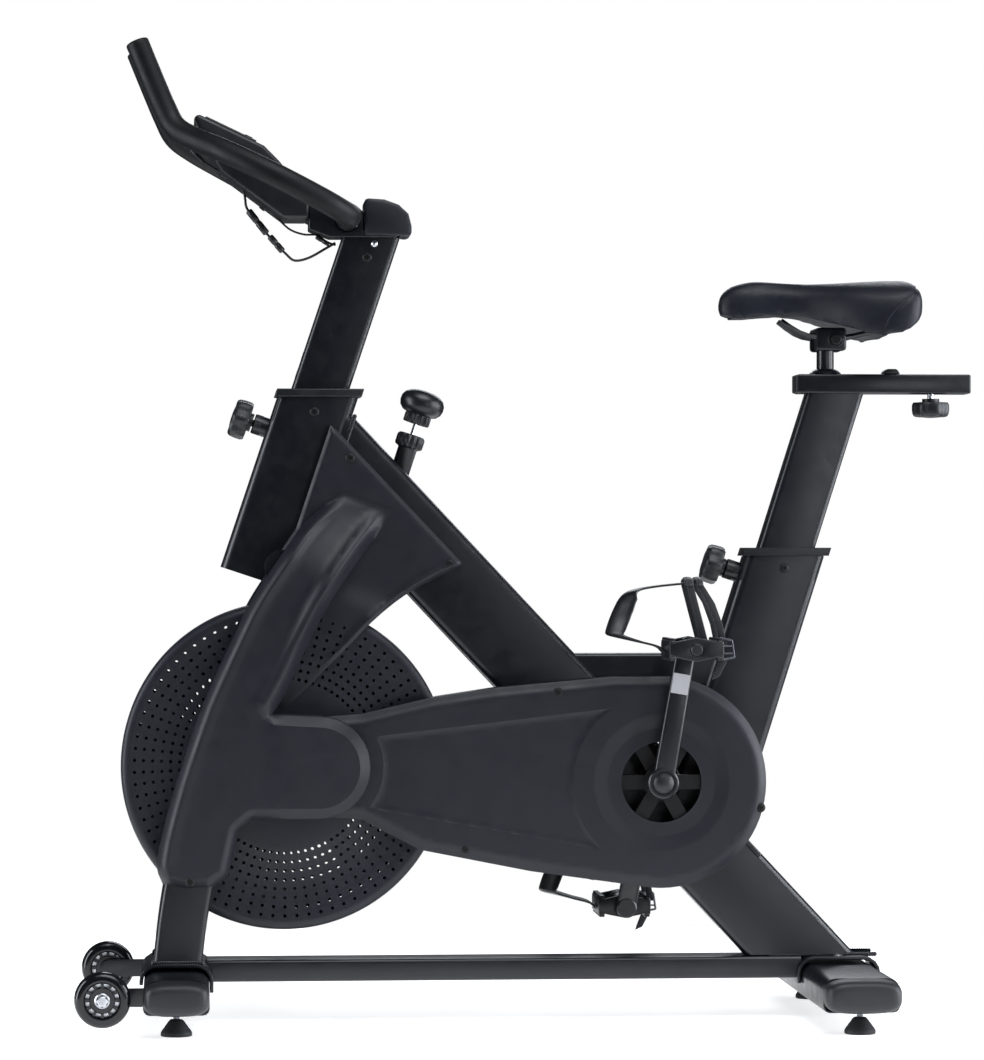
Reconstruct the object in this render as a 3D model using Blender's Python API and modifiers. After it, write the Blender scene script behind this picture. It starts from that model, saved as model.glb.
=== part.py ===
"""Exercise bike: a belt-driven indoor cycle with a shrouded front flywheel.

Metres, +Z up, the floor at z = 0. The front wheel end points to -X and the belt side to -Y.
Places in the plane of the frame are (x, z) pairs. "Left" is the rider's left, the -Y side.
"""
import bpy
import bmesh
import math
from mathutils import Matrix, Vector

# ---------------------------------------------------------------- driving dimensions
GAP = 0.0003                      # between solids that touch on the real bike
WALL = 0.002                      # steel tube wall
SKIN = 0.0025                     # moulded cover wall

HEAD_TILT = math.radians(18.4)    # head tube and handlebar post lean back
SEAT_TILT = math.radians(17.6)    # seat tube and seat post lean back
HEAD_AXIS = (-0.3379, 0.5504)     # a point on each tube's axis
SEAT_AXIS = (0.3838, 0.7675)
SLEEVE_DEPTH = 0.096              # outer tubes, fore and aft
SLEEVE_WIDTH = 0.052              # outer tubes, across
POST_DEPTH = 0.069
POST_WIDTH = 0.034
HEAD_TUBE_TOP = 0.777
SEAT_TUBE_TOP = 0.579
COLLAR_HEIGHT = 0.0105
HANDLEBAR_POST_TOP = 0.976
SEAT_POST_TOP = 0.7826

DOWN_TUBE_POINT = (-0.0712, 0.5216)
DOWN_TUBE_SLOPE = math.radians(46.9)
DOWN_TUBE_DEPTH = 0.102
DOWN_TUBE_WIDTH = 0.050
DOWN_TUBE_FOOT = 0.0790

CRANK_AXIS = (0.163, 0.298)
CRANK_LENGTH = 0.170
CRANK_ANGLE = math.radians(9.8)   # left crank, back from straight up
CRANK_Y = (0.0720, 0.0870)        # inner and outer face of a crank arm
FLYWHEEL_AXIS = (-0.304, 0.319)
FLYWHEEL_RADIUS = 0.178
SHROUD_RADIUS = 0.203
SHROUD_HALF_WIDTH = 0.045
LEG_Y = (0.056, 0.080)            # inner and outer face of a fork leg
DROPOUT_Y = (0.070, 0.076)
BELT_Y = 0.056                    # centre plane of the belt, left of the frame
BELT_WIDTH = 0.012
BELT_THICKNESS = 0.003
BIG_PULLEY_RADIUS = 0.100
SMALL_PULLEY_RADIUS = 0.0278
BELT_COVER_Y = 0.0680
FORK_COVER_Y = 0.0940
FRAME_COVER_Y = 0.0400

FRONT_FOOT_X = -0.438
REAR_FOOT_X = 0.389
FRONT_FOOT_Y = 0.170
REAR_FOOT_Y = 0.205
STABILIZER_LOW = 0.0265
STABILIZER_HEIGHT = 0.042
FRONT_STABILIZER_DEPTH = 0.080
REAR_STABILIZER_DEPTH = 0.094
FRONT_STABILIZER_HALF = 0.222
REAR_STABILIZER_HALF = 0.250
CAP_LENGTH = 0.030
RAIL_LOW = 0.0500
RAIL_HIGH = 0.0775
WHEEL_AXIS = (-0.5265, 0.0472)
WHEEL_RADIUS = 0.0340
WHEEL_Y = 0.200
WHEEL_WIDTH = 0.024

BRAKE_AXIS = (-0.1316, 0.7688)    # centre of the brake knob
BRAKE_TILT = math.radians(18.2)
SEAT_RAIL_X = (0.3400, 0.5609)
SEAT_RAIL_Z = (0.7835, 0.8080)
SEAT_RAIL_WIDTH = 0.040
SADDLE_PIVOT = (0.3780, 0.8500)

# ---------------------------------------------------------------- scene set-up
for old in list(bpy.data.objects):
    bpy.data.objects.remove(old, do_unlink=True)

bike = bpy.data.collections.new("exercise_bike")
bpy.context.scene.collection.children.link(bike)


# ---------------------------------------------------------------- making and combining solids
def mesh_object(mesh, matrix=Matrix.Identity(4)):
    """Put a mesh in the bike's collection with its place held in the mesh."""
    mesh.transform(matrix)
    obj = bpy.data.objects.new("piece", mesh)
    bike.objects.link(obj)
    return obj


def baked(obj):
    """Replace an object by the mesh that its modifiers or its curve give."""
    bpy.context.view_layer.update()
    graph = bpy.context.evaluated_depsgraph_get()
    mesh = bpy.data.meshes.new_from_object(obj.evaluated_get(graph))
    matrix = obj.matrix_world.copy()
    bpy.data.objects.remove(obj, do_unlink=True)
    work = bmesh.new()
    work.from_mesh(mesh)
    bmesh.ops.remove_doubles(work, verts=work.verts, dist=0.00001)
    work.to_mesh(mesh)
    work.free()
    return mesh_object(mesh, matrix)


def prism(outline, y_low, y_high):
    """An outline of (x, z) points, extruded from y_low to y_high."""
    data = bpy.data.curves.new("outline", "CURVE")
    data.dimensions = "2D"
    data.fill_mode = "BOTH"
    data.extrude = (y_high - y_low) / 2
    spline = data.splines.new("POLY")
    spline.points.add(len(outline) - 1)
    for point, (x, z) in zip(spline.points, outline):
        point.co = (x, z, 0, 1)
    spline.use_cyclic_u = True
    obj = bpy.data.objects.new("outline", data)
    bike.objects.link(obj)
    obj.location.y = (y_low + y_high) / 2
    obj.rotation_euler.x = math.pi / 2
    return baked(obj)


def slab(outline, z_low, z_high):
    """An outline of (x, y) points, extruded from z_low to z_high."""
    obj = prism(outline, -z_high, -z_low)
    obj.data.transform(Matrix.Rotation(-math.pi / 2, 4, "X"))
    return obj


def box(low, high):
    work = bmesh.new()
    bmesh.ops.create_cube(work, size=1)
    size = [b - a for a, b in zip(low, high)]
    centre = [(a + b) / 2 for a, b in zip(low, high)]
    bmesh.ops.scale(work, vec=size, verts=work.verts)
    bmesh.ops.translate(work, vec=centre, verts=work.verts)
    mesh = bpy.data.meshes.new("box")
    work.to_mesh(mesh)
    work.free()
    return mesh_object(mesh)


def along(start, end):
    """Matrix that takes local +Z from the origin to the line start-end."""
    direction = Vector(end) - Vector(start)
    turn = direction.to_track_quat("Z", "Y").to_matrix().to_4x4()
    return Matrix.Translation(start) @ turn


def cylinder(start, end, radius, sides=24, end_radius=None):
    length = (Vector(end) - Vector(start)).length
    top = radius if end_radius is None else end_radius
    work = bmesh.new()
    bmesh.ops.create_cone(work, cap_ends=True, segments=sides, radius1=radius, radius2=top, depth=length)
    bmesh.ops.translate(work, vec=(0, 0, length / 2), verts=work.verts)
    mesh = bpy.data.meshes.new("cylinder")
    work.to_mesh(mesh)
    work.free()
    return mesh_object(mesh, along(start, end))


def across(point, y_low, y_high, radius, sides=24):
    """A cylinder along Y through an (x, z) point."""
    return cylinder((point[0], y_low, point[1]), (point[0], y_high, point[1]), radius, sides)


def turned(profile, start, end, steps=32, ring=False):
    """Spin (radius, height) points, top to bottom on the outer side, about the line start-end."""
    count = len(profile)
    edges = [(i, i + 1) for i in range(count - 1)]
    if ring:
        edges.append((count - 1, 0))
    mesh = bpy.data.meshes.new("profile")
    mesh.from_pydata([(r, 0, h) for r, h in profile], edges, [])
    obj = mesh_object(mesh)
    screw = obj.modifiers.new("spin", "SCREW")
    screw.steps = steps
    screw.render_steps = steps
    screw.use_merge_vertices = True
    screw.merge_threshold = 0.00001
    obj = baked(obj)
    obj.data.transform(along(start, end))
    return obj


def tube(points, radius, resolution=2):
    """A round bar along a smooth run of points."""
    data = bpy.data.curves.new("path", "CURVE")
    data.dimensions = "3D"
    data.bevel_depth = radius
    data.bevel_resolution = resolution
    data.use_fill_caps = True
    spline = data.splines.new("POLY")
    spline.points.add(len(points) - 1)
    for place, point in zip(spline.points, points):
        place.co = (*point, 1)
    obj = bpy.data.objects.new("path", data)
    bike.objects.link(obj)
    return baked(obj)


def smooth_path(points, pieces):
    """Catmull-Rom points through the route's own points."""
    knots = [Vector(p) for p in points]
    knots = [2 * knots[0] - knots[1]] + knots + [2 * knots[-1] - knots[-2]]
    path = []
    for i in range(1, len(knots) - 2):
        a, b, c, d = knots[i - 1:i + 3]
        for step in range(pieces):
            t = step / pieces
            path.append(0.5 * (2 * b + (c - a) * t + (2 * a - 5 * b + 4 * c - d) * t ** 2
                               + (3 * b - a - 3 * c + d) * t ** 3))
    path.append(knots[-2])
    return path


def combine(operation, target, tools):
    for tool in tools:
        step = target.modifiers.new("step", "BOOLEAN")
        step.operation = operation
        step.solver = "EXACT"
        step.object = tool
        target = baked(target)
        bpy.data.objects.remove(tool, do_unlink=True)
    return target


def join(target, *tools):
    return combine("UNION", target, tools)


def cut(target, *tools):
    return combine("DIFFERENCE", target, tools)


def common(target, *tools):
    return combine("INTERSECT", target, tools)


def rounded(obj, width, segments=2, limit=50):
    bevel = obj.modifiers.new("round", "BEVEL")
    bevel.width = width
    bevel.segments = segments
    bevel.limit_method = "ANGLE"
    bevel.angle_limit = math.radians(limit)
    return baked(obj)


def mirrored(obj):
    """The same solid on the other side of the frame."""
    mesh = obj.data.copy()
    mesh.transform(Matrix.Scale(-1, 4, (0, 1, 0)))
    mesh.flip_normals()
    return mesh_object(mesh)


# ---------------------------------------------------------------- outlines in the plane of the frame
def arc(centre, radius, first, last, steps):
    """Points on a circle, from the angle first to last in degrees, up from +X."""
    angles = [math.radians(first + (last - first) * i / steps) for i in range(steps + 1)]
    return [(centre[0] + radius * math.cos(a), centre[1] + radius * math.sin(a)) for a in angles]


def leaning(axis, tilt, z, offset=0.0):
    """The point at height z on a line that leans back and lies an offset behind the axis."""
    return (axis[0] + (z - axis[1]) * math.tan(tilt) + offset / math.cos(tilt), z)


def leaning_post(axis, tilt, depth, z_low, z_high, square_foot=False):
    """Outline of a leaning tube with a level top and a level or square foot."""
    half = depth / 2
    foot_drop = half * math.sin(tilt) if square_foot else 0
    return [leaning(axis, tilt, z_low + foot_drop, -half), leaning(axis, tilt, z_low - foot_drop, half),
            leaning(axis, tilt, z_high, half), leaning(axis, tilt, z_high, -half)]


def offset_line(point, angle, distance, shift):
    """A point at a distance along a line that falls to the rear, shifted up square to it."""
    return (point[0] + distance * math.cos(angle) + shift * math.sin(angle),
            point[1] - distance * math.sin(angle) + shift * math.cos(angle))


def ribbon(path, thickness):
    """Closed outline of a strip along a path of (x, z) points."""
    left, right = [], []
    for i, point in enumerate(path):
        before = Vector(path[max(i - 1, 0)])
        after = Vector(path[min(i + 1, len(path) - 1)])
        side = (after - before).normalized().orthogonal() * thickness / 2
        left.append(tuple(Vector(point) + side))
        right.append(tuple(Vector(point) - side))
    return left + right[::-1]


def on_tilt(point, tilt, along_axis, behind=0.0):
    """From a point, go up a leaning axis and square behind it."""
    return (point[0] + along_axis * math.sin(tilt) + behind * math.cos(tilt),
            point[1] + along_axis * math.cos(tilt) - behind * math.sin(tilt))


# ---------------------------------------------------------------- materials and names
def finish(name, colour, roughness, metallic):
    material = bpy.data.materials.new(name)
    material.use_nodes = True
    shader = material.node_tree.nodes["Principled BSDF"]
    linear = [(c / 12.92 if c <= 0.04045 else ((c + 0.055) / 1.055) ** 2.4) for c in colour]
    shader.inputs["Base Color"].default_value = (*linear, 1)
    shader.inputs["Roughness"].default_value = roughness
    shader.inputs["Metallic"].default_value = metallic
    return material


FINISHES = {
    "paint": ((0.09, 0.10, 0.13), 0.35, 0.0),
    "cover_plastic": ((0.19, 0.19, 0.22), 0.55, 0.0),
    "black_plastic": ((0.07, 0.07, 0.08), 0.45, 0.0),
    "rubber": ((0.05, 0.05, 0.05), 0.8, 0.0),
    "foam": ((0.10, 0.10, 0.12), 0.75, 0.0),
    "steel": ((0.60, 0.61, 0.63), 0.3, 1.0),
    "iron": ((0.30, 0.31, 0.33), 0.45, 1.0),
    "alloy": ((0.10, 0.10, 0.11), 0.4, 0.6),
    "leatherette": ((0.16, 0.17, 0.22), 0.6, 0.0),
    "belt": ((0.06, 0.06, 0.06), 0.8, 0.0),
}


def named(obj, name, kind, origin=(0, 0, 0)):
    """Name a finished piece, give it its material and put its origin on its joint."""
    obj.name = name
    obj.data.name = name
    obj.data.transform(Matrix.Translation(-Vector(origin)))
    obj.location = origin
    obj.data.materials.clear()
    obj.data.materials.append(finish(name, *FINISHES[kind]))
    obj.data.shade_smooth()
    obj.data.set_sharp_from_angle(angle=math.radians(35))
    return obj


# ---------------------------------------------------------------- frame tubes
def head_tube_block(grow=0.0):
    depth = SLEEVE_DEPTH + 2 * grow
    half = SLEEVE_WIDTH / 2 + grow
    outline = leaning_post(HEAD_AXIS, HEAD_TILT, depth, HEAD_AXIS[1], HEAD_TUBE_TOP, square_foot=True)
    return prism(outline, -half, half)


def seat_tube_block(grow=0.0):
    depth = SLEEVE_DEPTH + 2 * grow
    half = SLEEVE_WIDTH / 2 + grow
    outline = leaning_post(SEAT_AXIS, SEAT_TILT, depth, 0.16, SEAT_TUBE_TOP)
    return prism(outline, -half, half)


def sleeve_bore(axis, tilt, z_low, z_high):
    depth = SLEEVE_DEPTH - 2 * WALL
    half = SLEEVE_WIDTH / 2 - WALL
    return prism(leaning_post(axis, tilt, depth, z_low, z_high), -half, half)


def down_tube_outline(depth):
    half = depth / 2
    foot = []
    for shift in (-half, half):
        height = DOWN_TUBE_POINT[1] + shift * math.cos(DOWN_TUBE_SLOPE) - DOWN_TUBE_FOOT
        run = height / math.sin(DOWN_TUBE_SLOPE)
        foot.append(offset_line(DOWN_TUBE_POINT, DOWN_TUBE_SLOPE, run, shift))
    head = [offset_line(DOWN_TUBE_POINT, DOWN_TUBE_SLOPE, -0.34, shift) for shift in (half, -half)]
    return foot + head


def brake_point(distance):
    """A point on the brake rod's axis, a distance above the knob's centre."""
    x, z = on_tilt(BRAKE_AXIS, BRAKE_TILT, distance)
    return (x, 0, z)


BORE_REACH = 0.02                 # cutters run this far past what they cut

head_tube = cut(head_tube_block(), sleeve_bore(HEAD_AXIS, HEAD_TILT, 0.50, HEAD_TUBE_TOP + BORE_REACH))
SHELL_RADIUS = 0.027
SHELL_HALF = 0.036
seat_tube = cut(seat_tube_block(), sleeve_bore(SEAT_AXIS, SEAT_TILT, 0.14, SEAT_TUBE_TOP + BORE_REACH))

down_tube = prism(down_tube_outline(DOWN_TUBE_DEPTH), -DOWN_TUBE_WIDTH / 2, DOWN_TUBE_WIDTH / 2)
down_tube = cut(down_tube, head_tube_block(GAP))
head_side = prism([leaning(HEAD_AXIS, HEAD_TILT, 0.40, 0.03), leaning(HEAD_AXIS, HEAD_TILT, 0.95, 0.03),
                   (-0.60, 0.95), (-0.60, 0.40)], -0.1, 0.1)
top_trim = prism([(-0.35, 0.7520), (-0.10, 0.7520), (-0.10, 0.95), (-0.35, 0.95)], -0.1, 0.1)
down_tube = cut(down_tube, head_side, top_trim)
hollow = prism(down_tube_outline(DOWN_TUBE_DEPTH - 2 * WALL),
               -DOWN_TUBE_WIDTH / 2 + WALL, DOWN_TUBE_WIDTH / 2 - WALL)
hollow_end = cut(hollow, prism([(-0.6, 0.6850), (0.0, 0.6850), (0.0, 1.0), (-0.6, 1.0)], -0.1, 0.1))
hollow_foot = box((0.26, -DOWN_TUBE_WIDTH / 2 + WALL, 0.05), (0.40, DOWN_TUBE_WIDTH / 2 - WALL, 0.082))
down_tube = cut(down_tube, hollow_end, hollow_foot)
down_tube = join(down_tube, across(CRANK_AXIS, -SHELL_HALF, SHELL_HALF, SHELL_RADIUS))
down_tube = cut(down_tube, across(CRANK_AXIS, -0.05, 0.05, 0.0105),
                cylinder(brake_point(-0.26), brake_point(0.0), 0.0075, 12))

shell_space = across(CRANK_AXIS, -0.05, 0.05, SHELL_RADIUS + GAP)
frame_side = prism([offset_line(DOWN_TUBE_POINT, DOWN_TUBE_SLOPE, d, s) for d, s in
                    ((0.0, DOWN_TUBE_DEPTH / 2 + GAP), (0.9, DOWN_TUBE_DEPTH / 2 + GAP), (0.9, -0.6),
                     (0.0, -0.6))],
                   -0.1, 0.1)
seat_tube = cut(seat_tube, frame_side, shell_space)

BRACE_Z = (0.4150, 0.4570)
brace_path = prism([(0.02, BRACE_Z[0]), (0.30, BRACE_Z[0]), (0.30, BRACE_Z[1]), (0.02, BRACE_Z[1])],
                   -0.019, 0.019)
brace_low = DOWN_TUBE_DEPTH / 2 + GAP
brace_path = cut(brace_path,
                 prism([offset_line(DOWN_TUBE_POINT, DOWN_TUBE_SLOPE, d, s) for d, s in
                        ((-0.1, brace_low), (0.6, brace_low), (0.6, -0.4), (-0.1, -0.4))], -0.1, 0.1),
                 prism([leaning(SEAT_AXIS, SEAT_TILT, z, -SLEEVE_DEPTH / 2 + 0.001) for z in (0.30, 0.60)]
                       + [(0.60, 0.60), (0.60, 0.30)], -0.1, 0.1))
seat_tube = join(seat_tube, brace_path)


# Spring pins: each sits in a boss on the front face of a sleeve and drops into a hole in the post.
def pin_point(axis, tilt, z, out):
    """A point on a pull pin's axis, a distance out from the front face of the sleeve."""
    x, height = leaning(axis, tilt, z)
    x, height = on_tilt((x, height), tilt, 0.0, -SLEEVE_DEPTH / 2 - out)
    return (x, 0, height)


HEAD_PIN_Z = 0.7240
SEAT_PIN_Z = 0.5440
PIN_RADIUS = 0.0045
BOSS_LENGTH = 0.018
PINS = {"head": (HEAD_AXIS, HEAD_TILT, HEAD_PIN_Z), "seat": (SEAT_AXIS, SEAT_TILT, SEAT_PIN_Z)}


def with_boss(sleeve, place):
    boss = cylinder(pin_point(*place, -0.0005), pin_point(*place, BOSS_LENGTH), 0.0125, 20)
    bore = cylinder(pin_point(*place, -0.012), pin_point(*place, 0.03), PIN_RADIUS + GAP, 16)
    return cut(join(sleeve, boss), bore)


head_tube = with_boss(head_tube, PINS["head"])
seat_tube = with_boss(seat_tube, PINS["seat"])
named(head_tube, "head_tube", "paint")
named(seat_tube, "seat_tube", "paint")
named(down_tube, "down_tube", "paint")


# Plastic collars line the mouth of each sleeve.
def collar(axis, tilt, top, pin_z):
    lip = prism(leaning_post(axis, tilt, SLEEVE_DEPTH + 0.007, top + GAP, top + COLLAR_HEIGHT),
                -SLEEVE_WIDTH / 2 - 0.0035, SLEEVE_WIDTH / 2 + 0.0035)
    liner_half = SLEEVE_WIDTH / 2 - WALL - GAP
    liner = prism(leaning_post(axis, tilt, SLEEVE_DEPTH - 2 * (WALL + GAP), top - 0.030, top + 0.001),
                  -liner_half, liner_half)
    hole = prism(leaning_post(axis, tilt, POST_DEPTH + 2 * GAP, top - 0.06, top + 0.04),
                 -POST_WIDTH / 2 - GAP, POST_WIDTH / 2 + GAP)
    pin_way = cylinder(pin_point(axis, tilt, pin_z, -0.03), pin_point(axis, tilt, pin_z, 0.01),
                       PIN_RADIUS + 0.001, 16)
    return cut(join(lip, liner), hole, pin_way)


named(collar(HEAD_AXIS, HEAD_TILT, HEAD_TUBE_TOP, HEAD_PIN_Z), "head_tube_collar", "black_plastic")
named(collar(SEAT_AXIS, SEAT_TILT, SEAT_TUBE_TOP, SEAT_PIN_Z), "seat_tube_collar", "black_plastic")

# ---------------------------------------------------------------- fork legs, base rail and plates
LEG_DEPTH = 0.060
CROWN_CENTRE = (-0.3080, 0.5650)  # round boss that ties a leg to the head tube
CROWN_RADIUS = 0.022
DROPOUT_RADIUS = 0.026            # plate that holds the axle
LEG_PATH = [(-0.4365, 0.0790), (-0.4290, 0.1400), (-0.4180, 0.2000), (-0.4030, 0.2600),
            (-0.3840, 0.3300), (-0.3600, 0.4000), (-0.3300, 0.4700), (-0.3020, 0.5300),
            (-0.2850, 0.5750)]


def leg_block(grow=0.0):
    outline = ribbon(LEG_PATH, LEG_DEPTH + 2 * grow)
    leg = prism(outline, -LEG_Y[1] - grow, -LEG_Y[0] + grow)
    crown = prism(arc(CROWN_CENTRE, CROWN_RADIUS + grow, 0, 330, 11),
                  -LEG_Y[0] - 0.002, -SLEEVE_WIDTH / 2 - GAP + grow)
    dropout = [(-0.400, 0.360), (-0.400, 0.270)] + arc(FLYWHEEL_AXIS, DROPOUT_RADIUS + grow, -70, 70, 8)
    plate = prism(dropout, -DROPOUT_Y[1] - grow, -DROPOUT_Y[0] + grow)
    return join(leg, crown, plate)


AXLE_RADIUS = 0.008
leg_foot = box((-0.55, -0.1, 0.0), (-0.35, 0.1, 0.0785))
leg_hollow = prism(ribbon([(-0.4385, 0.0600)] + LEG_PATH[:-1], LEG_DEPTH - 2 * WALL), -LEG_Y[1] + WALL,
                   -LEG_Y[0] - WALL)
leg = cut(leg_block(), leg_foot, leg_hollow, across(FLYWHEEL_AXIS, -0.1, -0.05, AXLE_RADIUS + GAP, 16))
named(mirrored(leg), "fork_leg_right", "paint")
named(leg, "fork_leg_left", "paint")


def stabilizer_outline(x, depth, inset=0.0):
    """Flat-bottomed tube section with large round shoulders."""
    low = STABILIZER_LOW + inset
    high = STABILIZER_LOW + STABILIZER_HEIGHT - inset
    front = x - depth / 2 + inset
    back = x + depth / 2 - inset
    top, bottom = 0.0150 - inset / 2, 0.0080 - inset / 2
    return (arc((back - bottom, low + bottom), bottom, -90, 0, 3) + arc((back - top, high - top), top, 0,
                                                                        90, 5)
            + arc((front + top, high - top), top, 90, 180, 5) + arc((front + bottom, low + bottom),
                                                                    bottom, 180, 270, 3))


def saddle_plate(x, depth, front_drop, back_drop):
    """A bent plate that hugs the top of a stabilizer."""
    top = STABILIZER_LOW + STABILIZER_HEIGHT + 0.0070
    shoulder = STABILIZER_LOW + STABILIZER_HEIGHT - 0.012
    half = depth / 2 + 0.0032
    path = ([(x - half, shoulder - front_drop),
             (x - half, shoulder)] + arc((x - half + 0.0190, top - 0.0190), 0.0190, 180, 90, 4)
            + arc((x + half - 0.0190, top - 0.0190), 0.0190, 90, 0, 4) + [(x + half, shoulder),
                                                                          (x + half, shoulder - back_drop)])
    path = [p for i, p in enumerate(path) if i == 0 or (Vector(p) - Vector(path[i - 1])).length > 0.0015]
    return path


PLATE_HALF = 0.042
PLATE_THICK = 0.0045
front_plate = prism(ribbon(saddle_plate(FRONT_FOOT_X, FRONT_STABILIZER_DEPTH, 0.004, 0.014), PLATE_THICK),
                    -0.084, 0.084)
rear_plate = prism(ribbon(saddle_plate(REAR_FOOT_X, REAR_STABILIZER_DEPTH, 0.012, 0.002), PLATE_THICK),
                   -PLATE_HALF, PLATE_HALF)
named(front_plate, "front_plate", "paint")
named(rear_plate, "rear_plate", "paint")

RAIL_X = (FRONT_FOOT_X + FRONT_STABILIZER_DEPTH / 2 + 0.0060,
          REAR_FOOT_X - REAR_STABILIZER_DEPTH / 2 - 0.0060)
rail = box((RAIL_X[0], -0.030, RAIL_LOW), (RAIL_X[1], 0.030, RAIL_HIGH))
rail = cut(rounded(rail, 0.004),
           box((RAIL_X[0] - 0.01, -0.028, RAIL_LOW + WALL), (RAIL_X[1] + 0.01, 0.028, RAIL_HIGH - WALL)))
named(rail, "base_rail", "paint")

FOOT_STEM_RADIUS = 0.004
FEET = {"front_foot_left": (FRONT_FOOT_X, -FRONT_FOOT_Y), "front_foot_right": (FRONT_FOOT_X, FRONT_FOOT_Y),
        "rear_foot_left": (REAR_FOOT_X, -REAR_FOOT_Y), "rear_foot_right": (REAR_FOOT_X, REAR_FOOT_Y)}


def stabilizer(x, depth, half_length):
    body = prism(stabilizer_outline(x, depth), -half_length + CAP_LENGTH, half_length - CAP_LENGTH)
    inside = prism(stabilizer_outline(x, depth, WALL), -half_length, half_length)
    body = cut(body, inside)
    for foot_x, foot_y in FEET.values():
        if foot_x == x:
            body = cut(body, cylinder((x, foot_y, 0.02), (x, foot_y, 0.04), FOOT_STEM_RADIUS + GAP, 12))
    return body


def end_cap(x, depth, half_length):
    """Moulded cap with a soft nose and a plug that fits in the tube."""
    cap = prism(stabilizer_outline(x, depth), -half_length, -half_length + CAP_LENGTH - GAP)
    cap = rounded(cap, 0.006, 1)
    plug = prism(stabilizer_outline(x, depth, WALL + GAP), -half_length + CAP_LENGTH - 0.004,
                 -half_length + CAP_LENGTH + 0.004)
    return join(cap, plug)


WHEEL_ARM_Y = (WHEEL_Y - WHEEL_WIDTH / 2 - 0.0080, WHEEL_Y - WHEEL_WIDTH / 2 - 0.0015)
front_stabilizer = stabilizer(FRONT_FOOT_X, FRONT_STABILIZER_DEPTH, FRONT_STABILIZER_HALF)
front_edge = FRONT_FOOT_X - FRONT_STABILIZER_DEPTH / 2
for side in (-1, 1):
    arm_low, arm_high = sorted(side * y for y in WHEEL_ARM_Y)
    arm = prism([(front_edge + 0.0015, 0.0590), (front_edge + 0.0015, 0.0370), (WHEEL_AXIS[0], 0.0370)]
                + arc(WHEEL_AXIS, 0.0105, -90, -270, 6) + [(WHEEL_AXIS[0], 0.0590)], arm_low, arm_high)
    bolt_end = side * (WHEEL_Y + WHEEL_WIDTH / 2 + 0.0010)
    bolt = across(WHEEL_AXIS, *sorted((side * WHEEL_ARM_Y[0], bolt_end)), 0.0040, 12)
    head = across(WHEEL_AXIS, *sorted((bolt_end - side * 0.0002, bolt_end + side * 0.0040)), 0.0075, 6)
    front_stabilizer = join(front_stabilizer, arm, bolt, head)
named(front_stabilizer, "front_stabilizer", "paint")
named(stabilizer(REAR_FOOT_X, REAR_STABILIZER_DEPTH, REAR_STABILIZER_HALF), "rear_stabilizer", "paint")

for end, x, depth, half in (("front", FRONT_FOOT_X, FRONT_STABILIZER_DEPTH, FRONT_STABILIZER_HALF),
                            ("rear", REAR_FOOT_X, REAR_STABILIZER_DEPTH, REAR_STABILIZER_HALF)):
    cap = end_cap(x, depth, half)
    named(mirrored(cap), end + "_cap_right", "cover_plastic")
    named(cap, end + "_cap_left", "cover_plastic")

for name, (x, y) in FEET.items():
    foot = turned([(0, 0.0440), (0.0040, 0.0440), (0.0040, 0.0205), (0.0085, 0.0200),
                   (0.0190, 0.0050), (0.0190, 0.0), (0, 0)], (x, y, 0), (x, y, 1), 18)
    named(foot, name, "rubber", (x, y, 0))

for side, name in ((-1, "transport_wheel_left"), (1, "transport_wheel_right")):
    half = WHEEL_WIDTH / 2
    tread = [(0.0046, half - 0.001), (0.0280, half), (WHEEL_RADIUS, half - 0.006)]
    profile = tread + [(r, -h) for r, h in reversed(tread)]
    centre = Vector((WHEEL_AXIS[0], side * WHEEL_Y, WHEEL_AXIS[1]))
    wheel = turned(profile, centre, centre + Vector((0, -1, 0)), 28, ring=True)
    named(wheel, name, "rubber", centre)

# ---------------------------------------------------------------- flywheel, belt and cranks
def flywheel_place(y):
    return (FLYWHEEL_AXIS[0], y, FLYWHEEL_AXIS[1])


def crank_place(y):
    return (CRANK_AXIS[0], y, CRANK_AXIS[1])


RIM_HALF = 0.0130
RIM_INNER = 0.150
rim = turned([(RIM_INNER, RIM_HALF), (0.174, RIM_HALF), (FLYWHEEL_RADIUS, RIM_HALF - 0.004),
              (FLYWHEEL_RADIUS, -RIM_HALF + 0.004), (0.174, -RIM_HALF), (RIM_INNER, -RIM_HALF)],
             flywheel_place(0), flywheel_place(-1), 40, ring=True)
hub = turned([(AXLE_RADIUS + GAP, 0.020), (0.030, 0.020), (0.030, -0.020), (AXLE_RADIUS + GAP, -0.020)],
             flywheel_place(0), flywheel_place(-1), 20, ring=True)
flywheel = join(rim, hub)
SPOKES = 5
for i in range(SPOKES):
    angle = 2 * math.pi * i / SPOKES + 0.3
    out = Vector((math.cos(angle), 0, math.sin(angle)))
    side = Vector((-math.sin(angle), 0, math.cos(angle)))
    centre = Vector(flywheel_place(0))
    corners = [centre + out * r + side * s for r,
               s in ((0.024, -0.012), (0.157, -0.015), (0.157, 0.015), (0.024, 0.012))]
    flywheel = join(flywheel, prism([(c.x, c.z) for c in corners], -0.006, 0.006))
named(flywheel, "flywheel", "iron", flywheel_place(0))

axle = across(FLYWHEEL_AXIS, -0.0815, 0.0815, AXLE_RADIUS - GAP, 16)
for side in (-1, 1):
    nut_y = sorted((side * (DROPOUT_Y[1] + GAP), side * (DROPOUT_Y[1] + 0.006)))
    axle = join(axle, across(FLYWHEEL_AXIS, *nut_y, 0.0120, 6))
named(axle, "flywheel_axle", "steel")

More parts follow.
